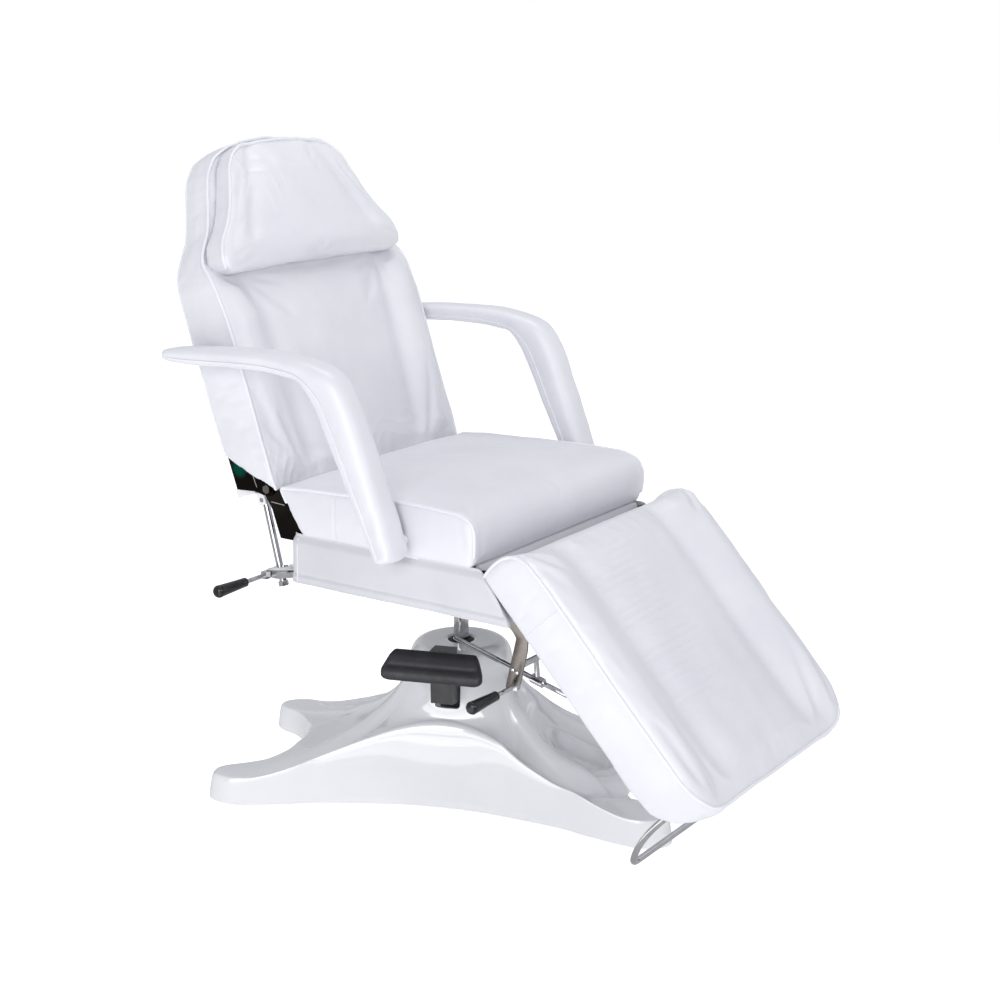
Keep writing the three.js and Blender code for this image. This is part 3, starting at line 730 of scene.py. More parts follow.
def pillow_shape(points, normal):
    x, v, u = points.T
    front = smoothstep(0.008, -0.014, v)
    across = np.abs(x)
    inner = pillow_inner(u)
    lift = 0.010 * front * (1 - smoothstep(0, inner, across) ** 2) * smoothstep(0.69, 0.60, u)
    lift += 0.007 * front * bump(u, 0.450, 0.034) * (1 - smoothstep(0.22, 0.30, across))
    lift -= 0.006 * front * bump(across, inner, 0.018) * smoothstep(0.45, 0.50, u)
    lift -= 0.006 * front * smoothstep(0.60, 0.69, u)
    move = np.zeros_like(points)
    move[:, 1] = -lift
    return move


def pillow_detail(points):
    x, v, u = points.T
    front = smoothstep(0.004, -0.01, v)
    folds = wrinkles(0.7 * (x - u), 0.72 * x + 0.69 * u, 0.036, 31, 1.6)
    near_top = bump(x, -0.110, 0.042) * bump(u, 0.605, 0.050)
    far_low = bump(x, 0.20, 0.05) * bump(u, 0.50, 0.06)
    drape = 0.0065 * folds * near_top + 0.0016 * folds * far_low
    soft = 0.0015 * noise(points * [1, 1, 0.5], 0.055, 32)
    return front * (drape + soft) + 0.0005 * noise(points, 0.03, 33)


def build_pillow():
    plan = prism("head_pad", mirrored(PILLOW_EDGE), -0.05, HEAD_FRONT, "y")
    side_view = [
        (HEAD_FRONT - 0.0005, 0.432), (HEAD_FRONT - 0.0005, 0.70), (-0.020, 0.70), (-0.028, 0.64),
        (-0.036, 0.56), (-0.042, 0.47), (-0.043, 0.443), (-0.038, 0.424), (-0.024, 0.412), (-0.011, 0.416),
    ]
    side = prism("side_view", side_view, -BEYOND, BEYOND, "x")
    heights, depths = [0.42, 0.45, 0.56, 0.64, 0.70], [-0.030, -0.035, -0.030, -0.024, -0.020]
    front_edge = [(x, np.interp(u, heights, depths), u) for x, u in PILLOW_EDGE[1:]]
    rear_edge = [(x, HEAD_FRONT - 0.001, u) for x, u in PILLOW_EDGE[1:]]
    seams = [resampled(mirrored(edge), SEAM_STEP) for edge in (front_edge, rear_edge)]
    pillow = pad("head_pad", common(plan, side), seams, pillow_shape, pillow_detail, 0.002, 0.006,
                 voxel=0.0055)
    lines = [welt("head_welt", pillow, seams[0])]
    place([pillow, *lines], BACK)
    upholster(pillow, lines, "back", ["head_pillow"])


# The leg rest: a boxed pad with a round top end, rounded lower corners and a bolster down each side.
LEG_FRONT = 0.1085
LEG_END = -0.590
LEG_SIDE = [
    (-0.0065, 0.010), (-0.0015, 0.040), (-0.004, 0.072), (-0.016, 0.096), (-0.040, 0.1085), (-0.10, 0.112),
    (-0.30, LEG_FRONT), (-0.560, LEG_FRONT), (-0.582, 0.101), (LEG_END, 0.084), (-0.582, 0.060),
    (-0.562, 0.034), (-0.530, 0.014), (-0.47, 0.006),
]


def leg_shape(points, normal):
    x, a, t = points.T
    front = smoothstep(0.06, 0.10, t)
    across = np.abs(x)
    ends = smoothstep(0.010, -0.040, a) * smoothstep(LEG_END, LEG_END + 0.10, a)
    bolster = bump(across, 0.258, 0.042) + 0.35 * smoothstep(0.27, 0.30, across)
    lift = 0.019 * bolster * ends - 0.013 * bump(across, 0.168, 0.030) * ends
    lift += 0.003 * (1 - smoothstep(0, 0.16, across)) * ends
    side = smoothstep(0.285, 0.302, across) * bump(t, 0.055, 0.03)
    move = normal * (0.003 * side)[:, None]
    move[:, 2] += front * lift
    return move


def leg_detail(points):
    x, a, t = points.T
    front = smoothstep(0.085, 0.100, t)
    panel = smoothstep(0.19, 0.15, np.abs(x)) * smoothstep(-0.02, -0.07, a) * smoothstep(-0.50, -0.42, a)
    near = 0.35 + 0.65 * smoothstep(0.06, -0.04, x)
    creases = 0.0017 * panel * near * wrinkles(x, a + 0.05 * x, 0.0235, 41, 5.0)
    soft = 0.0012 * noise(points * [1, 0.5, 1], 0.05, 42)
    end = 0.0016 * bump(a, -0.03, 0.03) * wrinkles(a, x, 0.04, 43, 1.5)
    return front * (creases + soft + end) + 0.0005 * noise(points, 0.04, 44)


def build_leg():
    """Modelled in the leg rest's frame, then turned into place."""
    corner = 0.085
    low, wide = LEG_END, HALF_WIDTH
    turn = [(wide, low + corner), (wide - 0.012, low + 0.008), (wide - corner, low)]
    quarter = [(wide, 0.05), turn[0], *curve(*turn, 11)]
    plan = prism("leg_pad", mirrored(quarter), 0.006, 0.15, "z")
    solid = common(plan, prism("side_view", LEG_SIDE, -BEYOND, BEYOND, "x"))
    rim = [(x, y, LEG_FRONT + 0.001) for x, y in quarter[1:]]
    side_run = [(wide, 0.002, 0.012), (wide, 0.004, 0.040), (wide, 0.001, 0.072), (wide, -0.013, 0.096)]
    side_run += [(wide, -0.040, 0.1095), (wide, -0.10, 0.113), (wide, -0.30, LEG_FRONT + 0.001)]
    seam = resampled(mirrored([*side_run, *rim]), SEAM_STEP)
    rear = resampled([(wide - 0.001, -0.01, 0.007), (wide - 0.001, -0.5, 0.007)], SEAM_STEP)
    leg = pad("leg_pad", solid, [seam, rear, rear * [-1, 1, 1]], leg_shape, leg_detail, 0.0015, 0.007)
    lines = [welt("leg_welt", leg, seam)]
    for side, sign in SIDES:
        joint = [(sign * wide, -0.140, t) for t in (0.014, 0.060, 0.104)]
        lines.append(welt(f"leg_side_seam_{side}", leg, joint, FINE_PIPING))
    place([leg, *lines], LEG)
    upholster(leg, lines, "leg", ["leg_cushion", "leg_board"], LEG_VINYL)


# The armrests: a padded bar that rises beside the seat and runs back, with a seam along each side.
ARM_OUTLINE = [
    (0.428, 0.891), (0.448, 0.898), (0.446, 0.911), (0.386, 0.920), (0.261, 0.930), (0.140, 0.931),
    (0.040, 0.911), (-0.006, 0.858), (-0.043, 0.771), (-0.099, 0.625), (-0.109, 0.590), (-0.095, 0.564),
    (-0.070, 0.568), (-0.043, 0.618), (0.034, 0.768), (0.092, 0.873), (0.143, 0.892), (0.243, 0.895),
    (0.344, 0.890),
]
ARM_SPINE = [
    (0.4455, 0.9035), (0.430, 0.9035), (0.386, 0.9055), (0.261, 0.9125), (0.160, 0.912), (0.104, 0.902),
    (0.054, 0.876), (0.026, 0.832), (-0.005, 0.757), (-0.039, 0.690), (-0.068, 0.626), (-0.087, 0.568),
]
ARM_INNER, ARM_OUTER = 0.3163, 0.383
ARM_STEP = 0.0045  # between the rings of an armrest
ARM_SQUARE = 3.4  # power of the superellipse of its section, where 2 is round
ARM_SEAM = 0.34  # how far below the middle its seams run, as a share of half its thickness


def catmull(points, steps, closed=True):
    """A smooth curve through points, in uniform Catmull-Rom steps."""
    points = np.array(points, float)
    count = len(points)
    out = []
    for i in range(count if closed else count - 1):
        picks = [i - 1, i, i + 1, i + 2]
        picks = [k % count for k in picks] if closed else [min(max(k, 0), count - 1) for k in picks]
        p0, p1, p2, p3 = points[picks]
        for t in np.arange(steps) / steps:
            out.append(0.5 * (2 * p1 + (p2 - p0) * t + (2 * p0 - 5 * p1 + 4 * p2 - p3) * t ** 2
                              + (3 * p1 - p0 - 3 * p2 + p3) * t ** 3))
    return out if closed else [*out, points[-1]]


def crossing(start, heading, loop):
    """How far a ray in the plane runs from a point inside a loop to the loop."""
    best = 1.0
    for a, b in zip(loop, np.roll(loop, -1, axis=0)):
        edge = b - a
        cross = heading[0] * edge[1] - heading[1] * edge[0]
        if abs(cross) < 1e-12:
            continue
        gap = a - start
        along = (gap[0] * edge[1] - gap[1] * edge[0]) / cross
        across = (gap[0] * heading[1] - gap[1] * heading[0]) / cross
        if along > 0 and -1e-6 <= across <= 1 + 1e-6:
            best = min(best, along)
    return best


def build_arm(side, sign):
    """One armrest: rings along its spine, as tall as its outline there, and narrow at both ends."""
    loop = resampled(catmull(ARM_OUTLINE, 8), 0.003, True)
    spine = resampled(catmull(ARM_SPINE, 8, False), ARM_STEP)
    for _ in range(6):
        spine[1:-1] = (spine[:-2] + 2 * spine[1:-1] + spine[2:]) / 4
    ahead = np.gradient(spine, axis=0)
    ahead /= np.linalg.norm(ahead, axis=1)[:, None]
    length = np.arange(len(spine)) * ARM_STEP
    sides, power = 56, 2 / ARM_SQUARE
    turn = np.linspace(0, 2 * math.pi, sides, endpoint=False) + math.pi / sides
    across = np.sign(np.cos(turn)) * np.abs(np.cos(turn)) ** power
    upward = np.sign(np.sin(turn)) * np.abs(np.sin(turn)) ** power
    middle, half = sign * (ARM_INNER + ARM_OUTER) / 2, (ARM_OUTER - ARM_INNER) / 2
    rings, seams = [], {-1: [], 1: []}
    for spot, way, gone in zip(spine, ahead, length):
        up = np.array([way[1], -way[0]])
        rise, fall = crossing(spot, up, loop), crossing(spot, -up, loop)
        centre, tall = spot + up * (rise - fall) / 2, (rise + fall) / 2
        end = min(gone / 0.020, (length[-1] - gone) / 0.014, 1)
        wide = half * max(1 - (1 - end) ** 2.4, 0.09) ** 0.4
        yz = centre + np.outer(upward * tall, up)
        rings.append(np.column_stack([middle + across * wide, yz]))
        if end == 1:
            seam = centre - up * tall * ARM_SEAM
            edge = wide * (1 - ARM_SEAM ** ARM_SQUARE) ** (1 / ARM_SQUARE)
            for face in seams:
                seams[face].append((middle + face * (edge - 0.0002), *seam))
    vertices = np.concatenate(rings)
    faces = grid_faces(len(rings), sides, False, True)
    faces += [tuple(range(sides)), tuple(range(len(vertices) - sides, len(vertices)))]
    arm = outward(mesh_object(f"armrest_pad_{side}", vertices, faces))
    with_modifier(arm, "SUBSURF", levels=1)
    points = coords(arm)
    seam_gap = np.minimum(*(distance_to(points, np.array(seams[face])) for face in seams))
    pulled = -0.0018 * bump(seam_gap, 0, 0.009)
    soft = 0.0011 * noise(points, 0.05, 51) + 0.0005 * noise(points, 0.02, 52)
    elbow = bump(np.hypot(points[:, 1] - 0.120, points[:, 2] - 0.885), 0, 0.045)
    gather = 0.0012 * elbow * wrinkles(points[:, 0], points[:, 1] + points[:, 2], 0.013, 53, 2.0)
    set_coords(arm, points + normals(arm) * (pulled + soft + gather)[:, None])
    smooth_shading(arm)
    lines = [welt(f"armrest_seam_{side}_{'outer' if face == sign else 'inner'}", arm, seam, 0.0016)
             for face, seam in seams.items()]
    upholster(arm, lines, f"armrest_{side}_pad", [f"armrest_{side}"])


# The skirt: vinyl round the seat frame, with a seam above its lower edge and rounded rear corners.
SKIRT_FRONT_HALF = 0.2835  # of the front panel, which stays clear of the leg hinge plates


def skirt_ring(z, inset):
    """Its plan at one height, from the front of the right side round the back to the left side."""
    front = np.interp(z, [0.475, 0.573], [-0.3245, -0.2540])
    rear, wide, corner = 0.196 - inset, HALF_WIDTH - inset, 0.026 - inset
    right = np.linspace((-wide, front), (-wide, rear - corner), 44)
    turn = [(-wide + corner - corner * math.cos(a), rear - corner + corner * math.sin(a))
            for a in np.linspace(0, math.pi / 2, 9)[1:]]
    back = np.linspace((-wide + corner, rear), (0, rear), 26)[1:]
    return np.array(mirrored([*right, *turn, *back]))


def build_skirt():
    """One wavy sheet round the sides and back, and a separate leaning front panel."""
    top, bottom, seam_height = 0.5725, 0.475, 0.4925
    heights = np.linspace(top, bottom, 40)
    section = [(z, 0.0) for z in heights]
    section += [(bottom - 0.0008, 0.0012), (bottom - 0.0008, 0.0045)]
    section += [(z, 0.006) for z in heights[::-1]]
    count = len(skirt_ring(top, 0))
    rings = []
    for z, inset in section:
        plan = skirt_ring(z, inset)
        points = np.column_stack([plan, np.full(len(plan), z)])
        wave = 0.0016 * noise(points * [1, 1, 0.6], 0.07, 61) + 0.0006 * noise(points, 0.025, 62)
        gap = z - seam_height
        roll = -0.0022 * math.exp(-(gap / 0.0022) ** 2) + 0.0012 * math.exp(-((gap + 0.007) / 0.005) ** 2)
        hem = 0.0016 * smoothstep(0.482, bottom, z) - 0.0075 * smoothstep(0.553, top, z)
        out = wave * (1 - smoothstep(0.53, top, z)) + (roll + hem if inset == 0 else 0)
        ahead = np.gradient(plan, axis=0)
        ahead /= np.linalg.norm(ahead, axis=1)[:, None]
        points[:, 0] -= ahead[:, 1] * out
        points[:, 1] += ahead[:, 0] * out
        rings.append(points)
    vertices = np.concatenate(rings)
    faces = grid_faces(len(rings), count, True, False)
    for column in (0, count - 1):
        faces.append(tuple(i * count + column for i in range(len(rings))))
    skirt = outward(mesh_object("seat_skirt", vertices, faces))
    with_modifier(skirt, "SUBSURF", levels=1)
    smooth_shading(skirt, 50)
    finish(skirt, SHADED_SKIRT_VINYL, "seat", ["skirt_left", "skirt_right", "skirt_rear"])
    for side, sign in SIDES:
        joint = [(sign * HALF_WIDTH, 0.172, z) for z in (0.479, 0.566)]
        line = welt(f"skirt_corner_seam_{side}", skirt, joint, radius=0.0013)
        finish(line, WELT, "seat")

    side = [(-0.2390, top), (-0.2475, 0.5525), (-0.3060, bottom), (-0.2960, bottom), (-0.2370, 0.5525),
            (-0.2275, top)]
    panel = prism("skirt_front_panel", rounded(side, 0.003, 4), -SKIRT_FRONT_HALF, SKIRT_FRONT_HALF, "x")
    finish(bevelled(panel, 0.003, 3, 40), SHADED_SKIRT_VINYL, "seat", ["skirt_front"])


# ---- moulded base ----
BASE_TOP, DOME, HOLE, WALL = 0.312, 0.104, 0.026, 0.005
WAIST_CREASE, TIP_CREASE = 0.178, 0.058
BASE_QUARTER = [
    (0.149, 0), (0.152, 0.070), (0.166, 0.154), (0.188, 0.250), (0.211, 0.310), (0.235, 0.390),
    (0.238, 0.430), (0.222, 0.464), (0.195, 0.471), (0.172, 0.452), (0.150, 0.415), (0.110, 0.380),
    (0.060, 0.358), (0, 0.350),
]


def base_profile(reach, crease, waist, shrink):
    """Half a section through the base, as (radius, height): dome, sweep, soft edge and drafted wall."""
    dome, top = DOME - shrink, BASE_TOP - shrink
    line = [(HOLE, top - 0.005), (HOLE + 0.001, top - 0.0015), (HOLE + 0.004, top)]
    line += [(r, top) for r in np.linspace(HOLE + 0.012, dome - 0.034, 5)]
    line += curve(line[-1], (dome - 0.004, top), (dome, top - 0.036), 10)
    shoulder = (dome + 0.001, top - 0.050)
    inset = 0.014 + 0.019 * waist
    ledge = np.array([reach - inset, crease - shrink])
    bend = (0.80 * shoulder[0] + 0.20 * ledge[0], 0.90 * ledge[1] + 0.10 * shoulder[1])
    line += [shoulder, *curve(shoulder, bend, ledge, 38)]
    turn = min(0.62 * inset, 0.016)
    knee, brow = ledge + [0.66 * turn, -0.001], ledge + [turn, -0.016 - 0.004 * waist]
    fall = (inset - turn - 0.001 - 0.002 * waist) / (brow[0] - knee[0])
    line += curve(ledge, knee, brow, 9)
    line += curve(brow, brow + fall * (brow - knee), (reach, 0.006), 12)
    return np.array([*line, (reach - 0.0012, 0.004)])


def build_base():
    """A hollow moulding, as one profile for each direction round the column."""
    samples = 400
    half = mirrored(BASE_QUARTER)
    loop = [*half, *[(x, -y) for x, y in reversed(half[1:-1])]]
    edge = resampled(catmull(loop, 16), 0.002, True)
    edge = edge[np.linspace(0, len(edge), samples, endpoint=False).astype(int)]
    ahead = np.roll(edge, -1, axis=0) - np.roll(edge, 1, axis=0)
    ahead /= np.linalg.norm(ahead, axis=1)[:, None]
    inner = edge - WALL * np.column_stack([ahead[:, 1], -ahead[:, 0]])
    columns = []
    for far, near in zip(edge, inner):
        waist = 0.5 + 0.5 * math.cos(math.pi * min(abs(far[1]) / 0.400, 1))
        crease = TIP_CREASE + (WAIST_CREASE - TIP_CREASE) * waist ** 0.8
        column = []
        for rim, shrink in ((far, 0.0), (near, WALL)):
            reach = np.linalg.norm(rim)
            skin = [(*(rim / reach * r), z) for r, z in base_profile(reach, crease, waist, shrink)]
            column += skin if shrink == 0 else skin[::-1]
        columns.append(column)
    columns = np.array(columns)
    columns[..., 2] += relief(columns[..., 0], columns[..., 1], columns[..., 2])
    faces = grid_faces(samples, columns.shape[1], True, True)
    shell = outward(mesh_object("base_shell", columns.reshape(-1, 3), faces))
    slot_outline = rounded([(-0.026, 0.200), (0.026, 0.200), (0.026, 0.262), (-0.026, 0.262)], 0.008, 5)
    common(shell, prism("slot", slot_outline, -0.165, -0.060, "x"), "DIFFERENCE")
    smooth_shading(shell, 38)
    place([shell], BASE)
    finish(shell, SHELL, "base", ["base_cover"])


def relief(x, y, z):
    """Height added to the sweep: a scooped dish in a raised ring in front, and a shallow valley behind."""
    sweep = smoothstep(0.262, 0.215, z) * smoothstep(0.046, 0.066, z)
    ring = np.hypot(x / 0.104, (y + 0.246) / 0.100)
    bowl = np.hypot(x / 0.052, (y + 0.254) / 0.064)
    outer = -0.016 * bump(ring, 1.62, 0.20) + 0.010 * smoothstep(1.50, 1.12, ring)
    step = -0.0075 * smoothstep(1.035, 0.965, ring) - 0.004 * smoothstep(0.97, 0.60, ring)
    scoop = -0.022 * smoothstep(1.06, 0.70, bowl) + 0.007 * smoothstep(0.70, 0.0, bowl)
    front = (outer + step + scoop + 0.0035 * bump(bowl, 1.14, 0.09)) * smoothstep(-0.10, -0.15, y)
    back_ring = np.hypot(x / 0.085, (y - 0.240) / 0.095)
    back = -0.009 * smoothstep(1.05, 0.45, back_ring) + 0.003 * bump(back_ring, 1.15, 0.12)
    return sweep * (front + back * smoothstep(0.10, 0.15, y))


# ---- pedal, column and levers ----
def build_pedal():
    """The foot tread: a long rounded pad with a crease along its front and fine ribs on top."""
    side = [(-0.1933, 0.346), (-0.204, 0.352), (-0.220, 0.347), (-0.236, 0.328), (-0.249, 0.314),
            (-0.248, 0.301), (-0.236, 0.296), (-0.212, 0.302), (-0.1933, 0.312)]
    section = rounded(side, 0.006, 4)
    body = prism("pedal_pad", section, -0.107, 0.099, "y")
    plan = [(-0.190, -0.068), (-0.198, -0.082), (-0.222, -0.100), (-0.240, -0.107), (-0.252, -0.098),
            (-0.252, 0.090), (-0.240, 0.099), (-0.222, 0.093), (-0.198, 0.078), (-0.190, 0.062)]
    common(body, prism("plan", rounded(plan, 0.008, 4), 0.27, 0.37, "z"))
    face = [(-0.070, 0.36), (-0.090, 0.348), (-0.107, 0.316), (-0.106, 0.306), (-0.092, 0.298),
            (-0.060, 0.290), (0.050, 0.290), (0.084, 0.298), (0.098, 0.306), (0.099, 0.316),
            (0.083, 0.348), (0.062, 0.36)]
    common(body, prism("face", rounded(face, 0.008, 4), -0.26, -0.18, "x"))
    with_modifier(body, "REMESH", mode="VOXEL", voxel_size=0.0028)
    with_modifier(body, "SMOOTH", factor=0.5, iterations=10)
    points = coords(body)
    x, y, z = points.T
    off_middle = np.abs(y + 0.004)
    crease = bump(x, -0.236, 0.0035) * smoothstep(0.315, 0.324, z) * smoothstep(0.094, 0.080, off_middle)
    ribs = 0.5 + 0.5 * np.sin(2 * math.pi * y / 0.0075)
    worn = 0.0004 * ribs * smoothstep(0.330, 0.338, z) * smoothstep(0.080, 0.070, off_middle)
    set_coords(body, points - normals(body) * (0.0016 * crease + worn)[:, None])
    with_modifier(body, "SUBSURF", levels=1)
    smooth_shading(body)
    place([body], BASE)
    finish(body, RUBBER, "pedal", ["pedal_tread"])


def build_column():
    """The chrome piston with the flange that spreads under the seat, and the wiper seal round it."""
    low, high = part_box("piston")
    radius, flange, top = 0.015, 0.045, high.z
    profile = [(0, low.z), (radius - 0.001, low.z), (radius, low.z + 0.001), (radius, top - 0.016),
               (radius + 0.002, top - 0.011), (0.026, top - 0.009), (flange - 0.002, top - 0.008),
               (flange, top - 0.006), (flange, top - 0.001), (flange - 0.001, top), (0, top)]
    rod = smooth_shading(lathe("lift_piston", profile), 35)
    finish(rod, CHROME, "lift", ["piston"])
    low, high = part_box("column_seal")
    inner, outer, z0, z1 = 0.0158, 0.0252, low.z, high.z
    ring = [(inner, z0), (outer, z0), (outer, z1), (outer - 0.002, z1 + 0.0022),
            (outer - 0.005, z1 + 0.003), (inner + 0.003, z1 + 0.0015), (inner + 0.0008, z1 + 0.0035),
            (inner, z1 + 0.003)]
    seal = smooth_shading(lathe("wiper_seal", ring), 40)
    finish(seal, RUBBER, "base", ["column_seal"])


def build_grip(end):
    """A tapered grip with a collar, in place of the plain turned one, for the rear or front lever."""
    low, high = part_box(f"{end}_lever_grip")
    length = high.x - low.x
    centre = ((low.y + high.y) / 2, (low.z + high.z) / 2)
    bore, tip = 0.0047, 0.0127
    profile = [(bore, 0), (0.0078, 0), (0.0090, 0.0012), (0.0094, 0.004), (0.0088, 0.0065), (0.0092, 0.009)]
    for t in np.linspace(0.12, 0.86, 10):
        profile.append((0.0092 + (tip - 0.0092) * t ** 1.3, length * t))
    for angle in np.linspace(15, 85, 7):
        a = math.radians(angle)
        profile.append((tip * (0.35 + 0.65 * math.cos(a)), length * 0.88 + length * 0.12 * math.sin(a)))
    profile += [(0.0001, length), (0.0001, 0.03), (bore, 0.03)]
    grip = smooth_shading(lathe(f"{end}_grip", profile, 48), 40)
    turn = Matrix.Translation((high.x, *centre)) @ Matrix.Rotation(-math.pi / 2, 4, "Y")
    place([grip], turn)
    finish(grip, GRIP, f"{end}_release", [f"{end}_lever_grip"])


def build_foot_bar():
    """A bent bar that comes out of the back of the leg rest near its lower end and crosses behind it."""
    reach, bend, corner = 0.273, 0.05, 0.026
    half = [(reach, -0.538, 0.044), (reach, -0.545, -0.052), (reach, -0.572, -0.106)]
    path = rounded(mirrored(half), [0, bend, corner, corner, bend, 0], 10, False)
    bar = tube("foot_rail", resampled(path, 0.006), 0.006, 20)
    place([bar], LEG)
    finish(bar, CHROME, "leg", ["foot_bar"])


# ---- CAD nodes that show as they are, with a fine bevel and a real finish ----
# Of the plywood boards only the seat's shows, and the photo has it covered in vinyl.
CAD_FINISH = {
    "frame_steel": BLACK_STEEL, "white_steel": WHITE_STEEL, "chrome": CHROME, "mirror_steel": DARK_MIRROR,
    "plywood": SHADED_SKIRT_VINYL, "rubber": RUBBER, "upholstery": VINYL, "shell": SHELL, "grip": GRIP,
}
OWN_FINISH = {
    "arm_bracket_right": WHITE_STEEL, "arm_bracket_left": WHITE_STEEL,
    "back_hinge_bolt_right": HANGER_STEEL, "back_hinge_bolt_left": HANGER_STEEL,
}
BEVELS = {"frame_steel": 0.0012, "white_steel": 0.0025, "mirror_steel": 0.0004, "chrome": 0.0006}
PAINTED_GREEN_REFLECTION_SPOT = (0.296, 0.322, 0.680)  # centre of a painted green reflection on the left upper hinge plate, with its twin on the right one


def dress_frame():
    """Gives the CAD nodes their materials and eased edges. Each upper hinge plate gets a painted green
    reflection.
    """
    slots = {part["node"]: part["material_slot"] for part in frame["record"]["subparts"]}
    for node, obj in frame["nodes"].items():
        kind = slots[node]
        material = OWN_FINISH.get(node, CAD_FINISH[kind])
        if node.startswith("back_hinge_upper"):
            x, y, z = PAINTED_GREEN_REFLECTION_SPOT
            spot = Vector((-x if node.endswith("right") else x, y, z))
            material = dark_mirror(obj.matrix_world.inverted() @ spot)
        obj.data.materials.clear()
        obj.data.materials.append(material)
        if kind in BEVELS:
            bevel = obj.modifiers.new("Bevel", "BEVEL")
            bevel.width = BEVELS[kind]
            bevel.segments = 2
            bevel.limit_method = "ANGLE"
            bevel.angle_limit = math.radians(40)
        smooth_shading(obj, 35)


# ---- small hardware ----
def build_hanger():
    """The plate that carries the front lock: it leans forward out of sight behind the leg rest."""
    outline = [(-0.278, 0.339), (-0.310, 0.350), (-0.325, 0.420), (-0.326, 0.446), (-0.306, 0.470),
               (-0.283, 0.488), (-0.262, 0.5025), (-0.196, 0.5025), (-0.222, 0.490), (-0.262, 0.474),
               (-0.292, 0.452), (-0.301, 0.440)]
    plate = prism("hanger_plate", rounded(outline, 0.004, 4), -0.2567, -0.2527, "x")
    finish(bevelled(plate), HANGER_STEEL, "seat", ["front_lock_hanger"])


def rod_between(name, start, end, radius):
    """A round bar with eased ends."""
    start, end = Vector(start), Vector(end)
    length, ease = (end - start).length, min(0.0012, radius * 0.3)
    profile = [(0, 0), (radius - ease, 0), (radius, ease), (radius, length - ease),
               (radius - ease, length), (0, length)]
    bar = lathe(name, profile, 32)
    turn = (end - start).to_track_quat("Z", "Y").to_matrix().to_4x4()
    place([bar], Matrix.Translation(start) @ turn)
    return bar


def build_clamp():
    """The gland the front lock rod slides through, hung from a round bar on the hanger plate."""
    run = Vector((0, 0.1426, 0.0364)).normalized()
    middle = Vector((-0.200, -0.313, 0.344))
    parts = [
        rod_between("gland", middle - run * 0.014, middle + run * 0.014, 0.0092),
        rod_between("arm", middle + Vector((0, 0.001, 0.007)), (-0.200, -0.308, 0.387), 0.0050),
        rod_between("beam", (-0.2530, -0.308, 0.387), (-0.190, -0.308, 0.387), 0.0062),
    ]
    clamp = smooth_shading(joined("front_clamp", parts), 35)
    finish(clamp, CHROME, "seat", ["front_lock_clamp"])


def build_rear_clamp():
    """Two slim cheeks that taper back from the seat frame to the release lever, with a block between."""
    cheek = [(0.150, 0.500), (0.205, 0.493), (0.284, 0.475), (0.293, 0.468), (0.290, 0.457), (0.262, 0.456),
             (0.150, 0.482)]
    low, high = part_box("rear_lock_clamp")
    middle = (low.x + high.x) / 2
    parts = [prism("cheek", rounded(cheek, 0.003, 3), middle + face - 0.0018, middle + face + 0.0018, "x")
             for face in (-0.0095, 0.0095)]
    parts.append(prism("block", [(0.144, 0.482), (0.164, 0.482), (0.164, 0.500), (0.144, 0.500)],
                       middle - 0.0085, middle + 0.0085, "x"))
    finish(bevelled(joined("rear_clamp", parts)), CHROME, "seat", ["rear_lock_clamp"])


def build_hinge_edges():
    """The bright folded edges that cross the dark hinge plates on both sides."""
    for side, sign in SIDES:
        for part, body, face, ends in (("upper", "back", 0.296, ((0.290, 0.677), (0.2775, 0.648))),
                                       ("lower", "seat", 0.291, ((0.246, 0.6225), (0.213, 0.6205)))):
            (y0, z0), (y1, z1) = ends
            along = Vector((y1 - y0, z1 - z0)).normalized() * 0.0009
            outline = [(y0 - along.y, z0 + along.x), (y1 - along.y, z1 + along.x),
                       (y1 + along.y, z1 - along.x), (y0 + along.y, z0 - along.x)]
            low, high = sorted((sign * (face + 0.0006), sign * (face - 0.0010)))
            edge = prism(f"hinge_edge_{part}_{side}", outline, low, high, "x")
            finish(edge, CHROME, body)


def build_hardware():
    """Domed bolt heads on the front hanger."""
    heads = []
    for y, z in ((-0.295, 0.378), (-0.304, 0.374)):
        dome = [(0, 0.0), (0.0042, 0.0), (0.0042, 0.0012), (0.0036, 0.0026), (0.002, 0.0034), (0, 0.0036)]
        head = lathe("head", dome, 24)
        place([head], Matrix.Translation((-0.2567, y, z)) @ Matrix.Rotation(-math.pi / 2, 4, "Y"))
        heads.append(head)
    bolts = smooth_shading(joined("hanger_bolt_heads", heads), 40)
    finish(bolts, CHROME, "seat")


# ---- studio ----
MIRRORED = ("glossy",)  # the only rays that see a reflection card


def quad(name, corners):
    return mesh_object(name, corners, [(0, 1, 2, 3)])


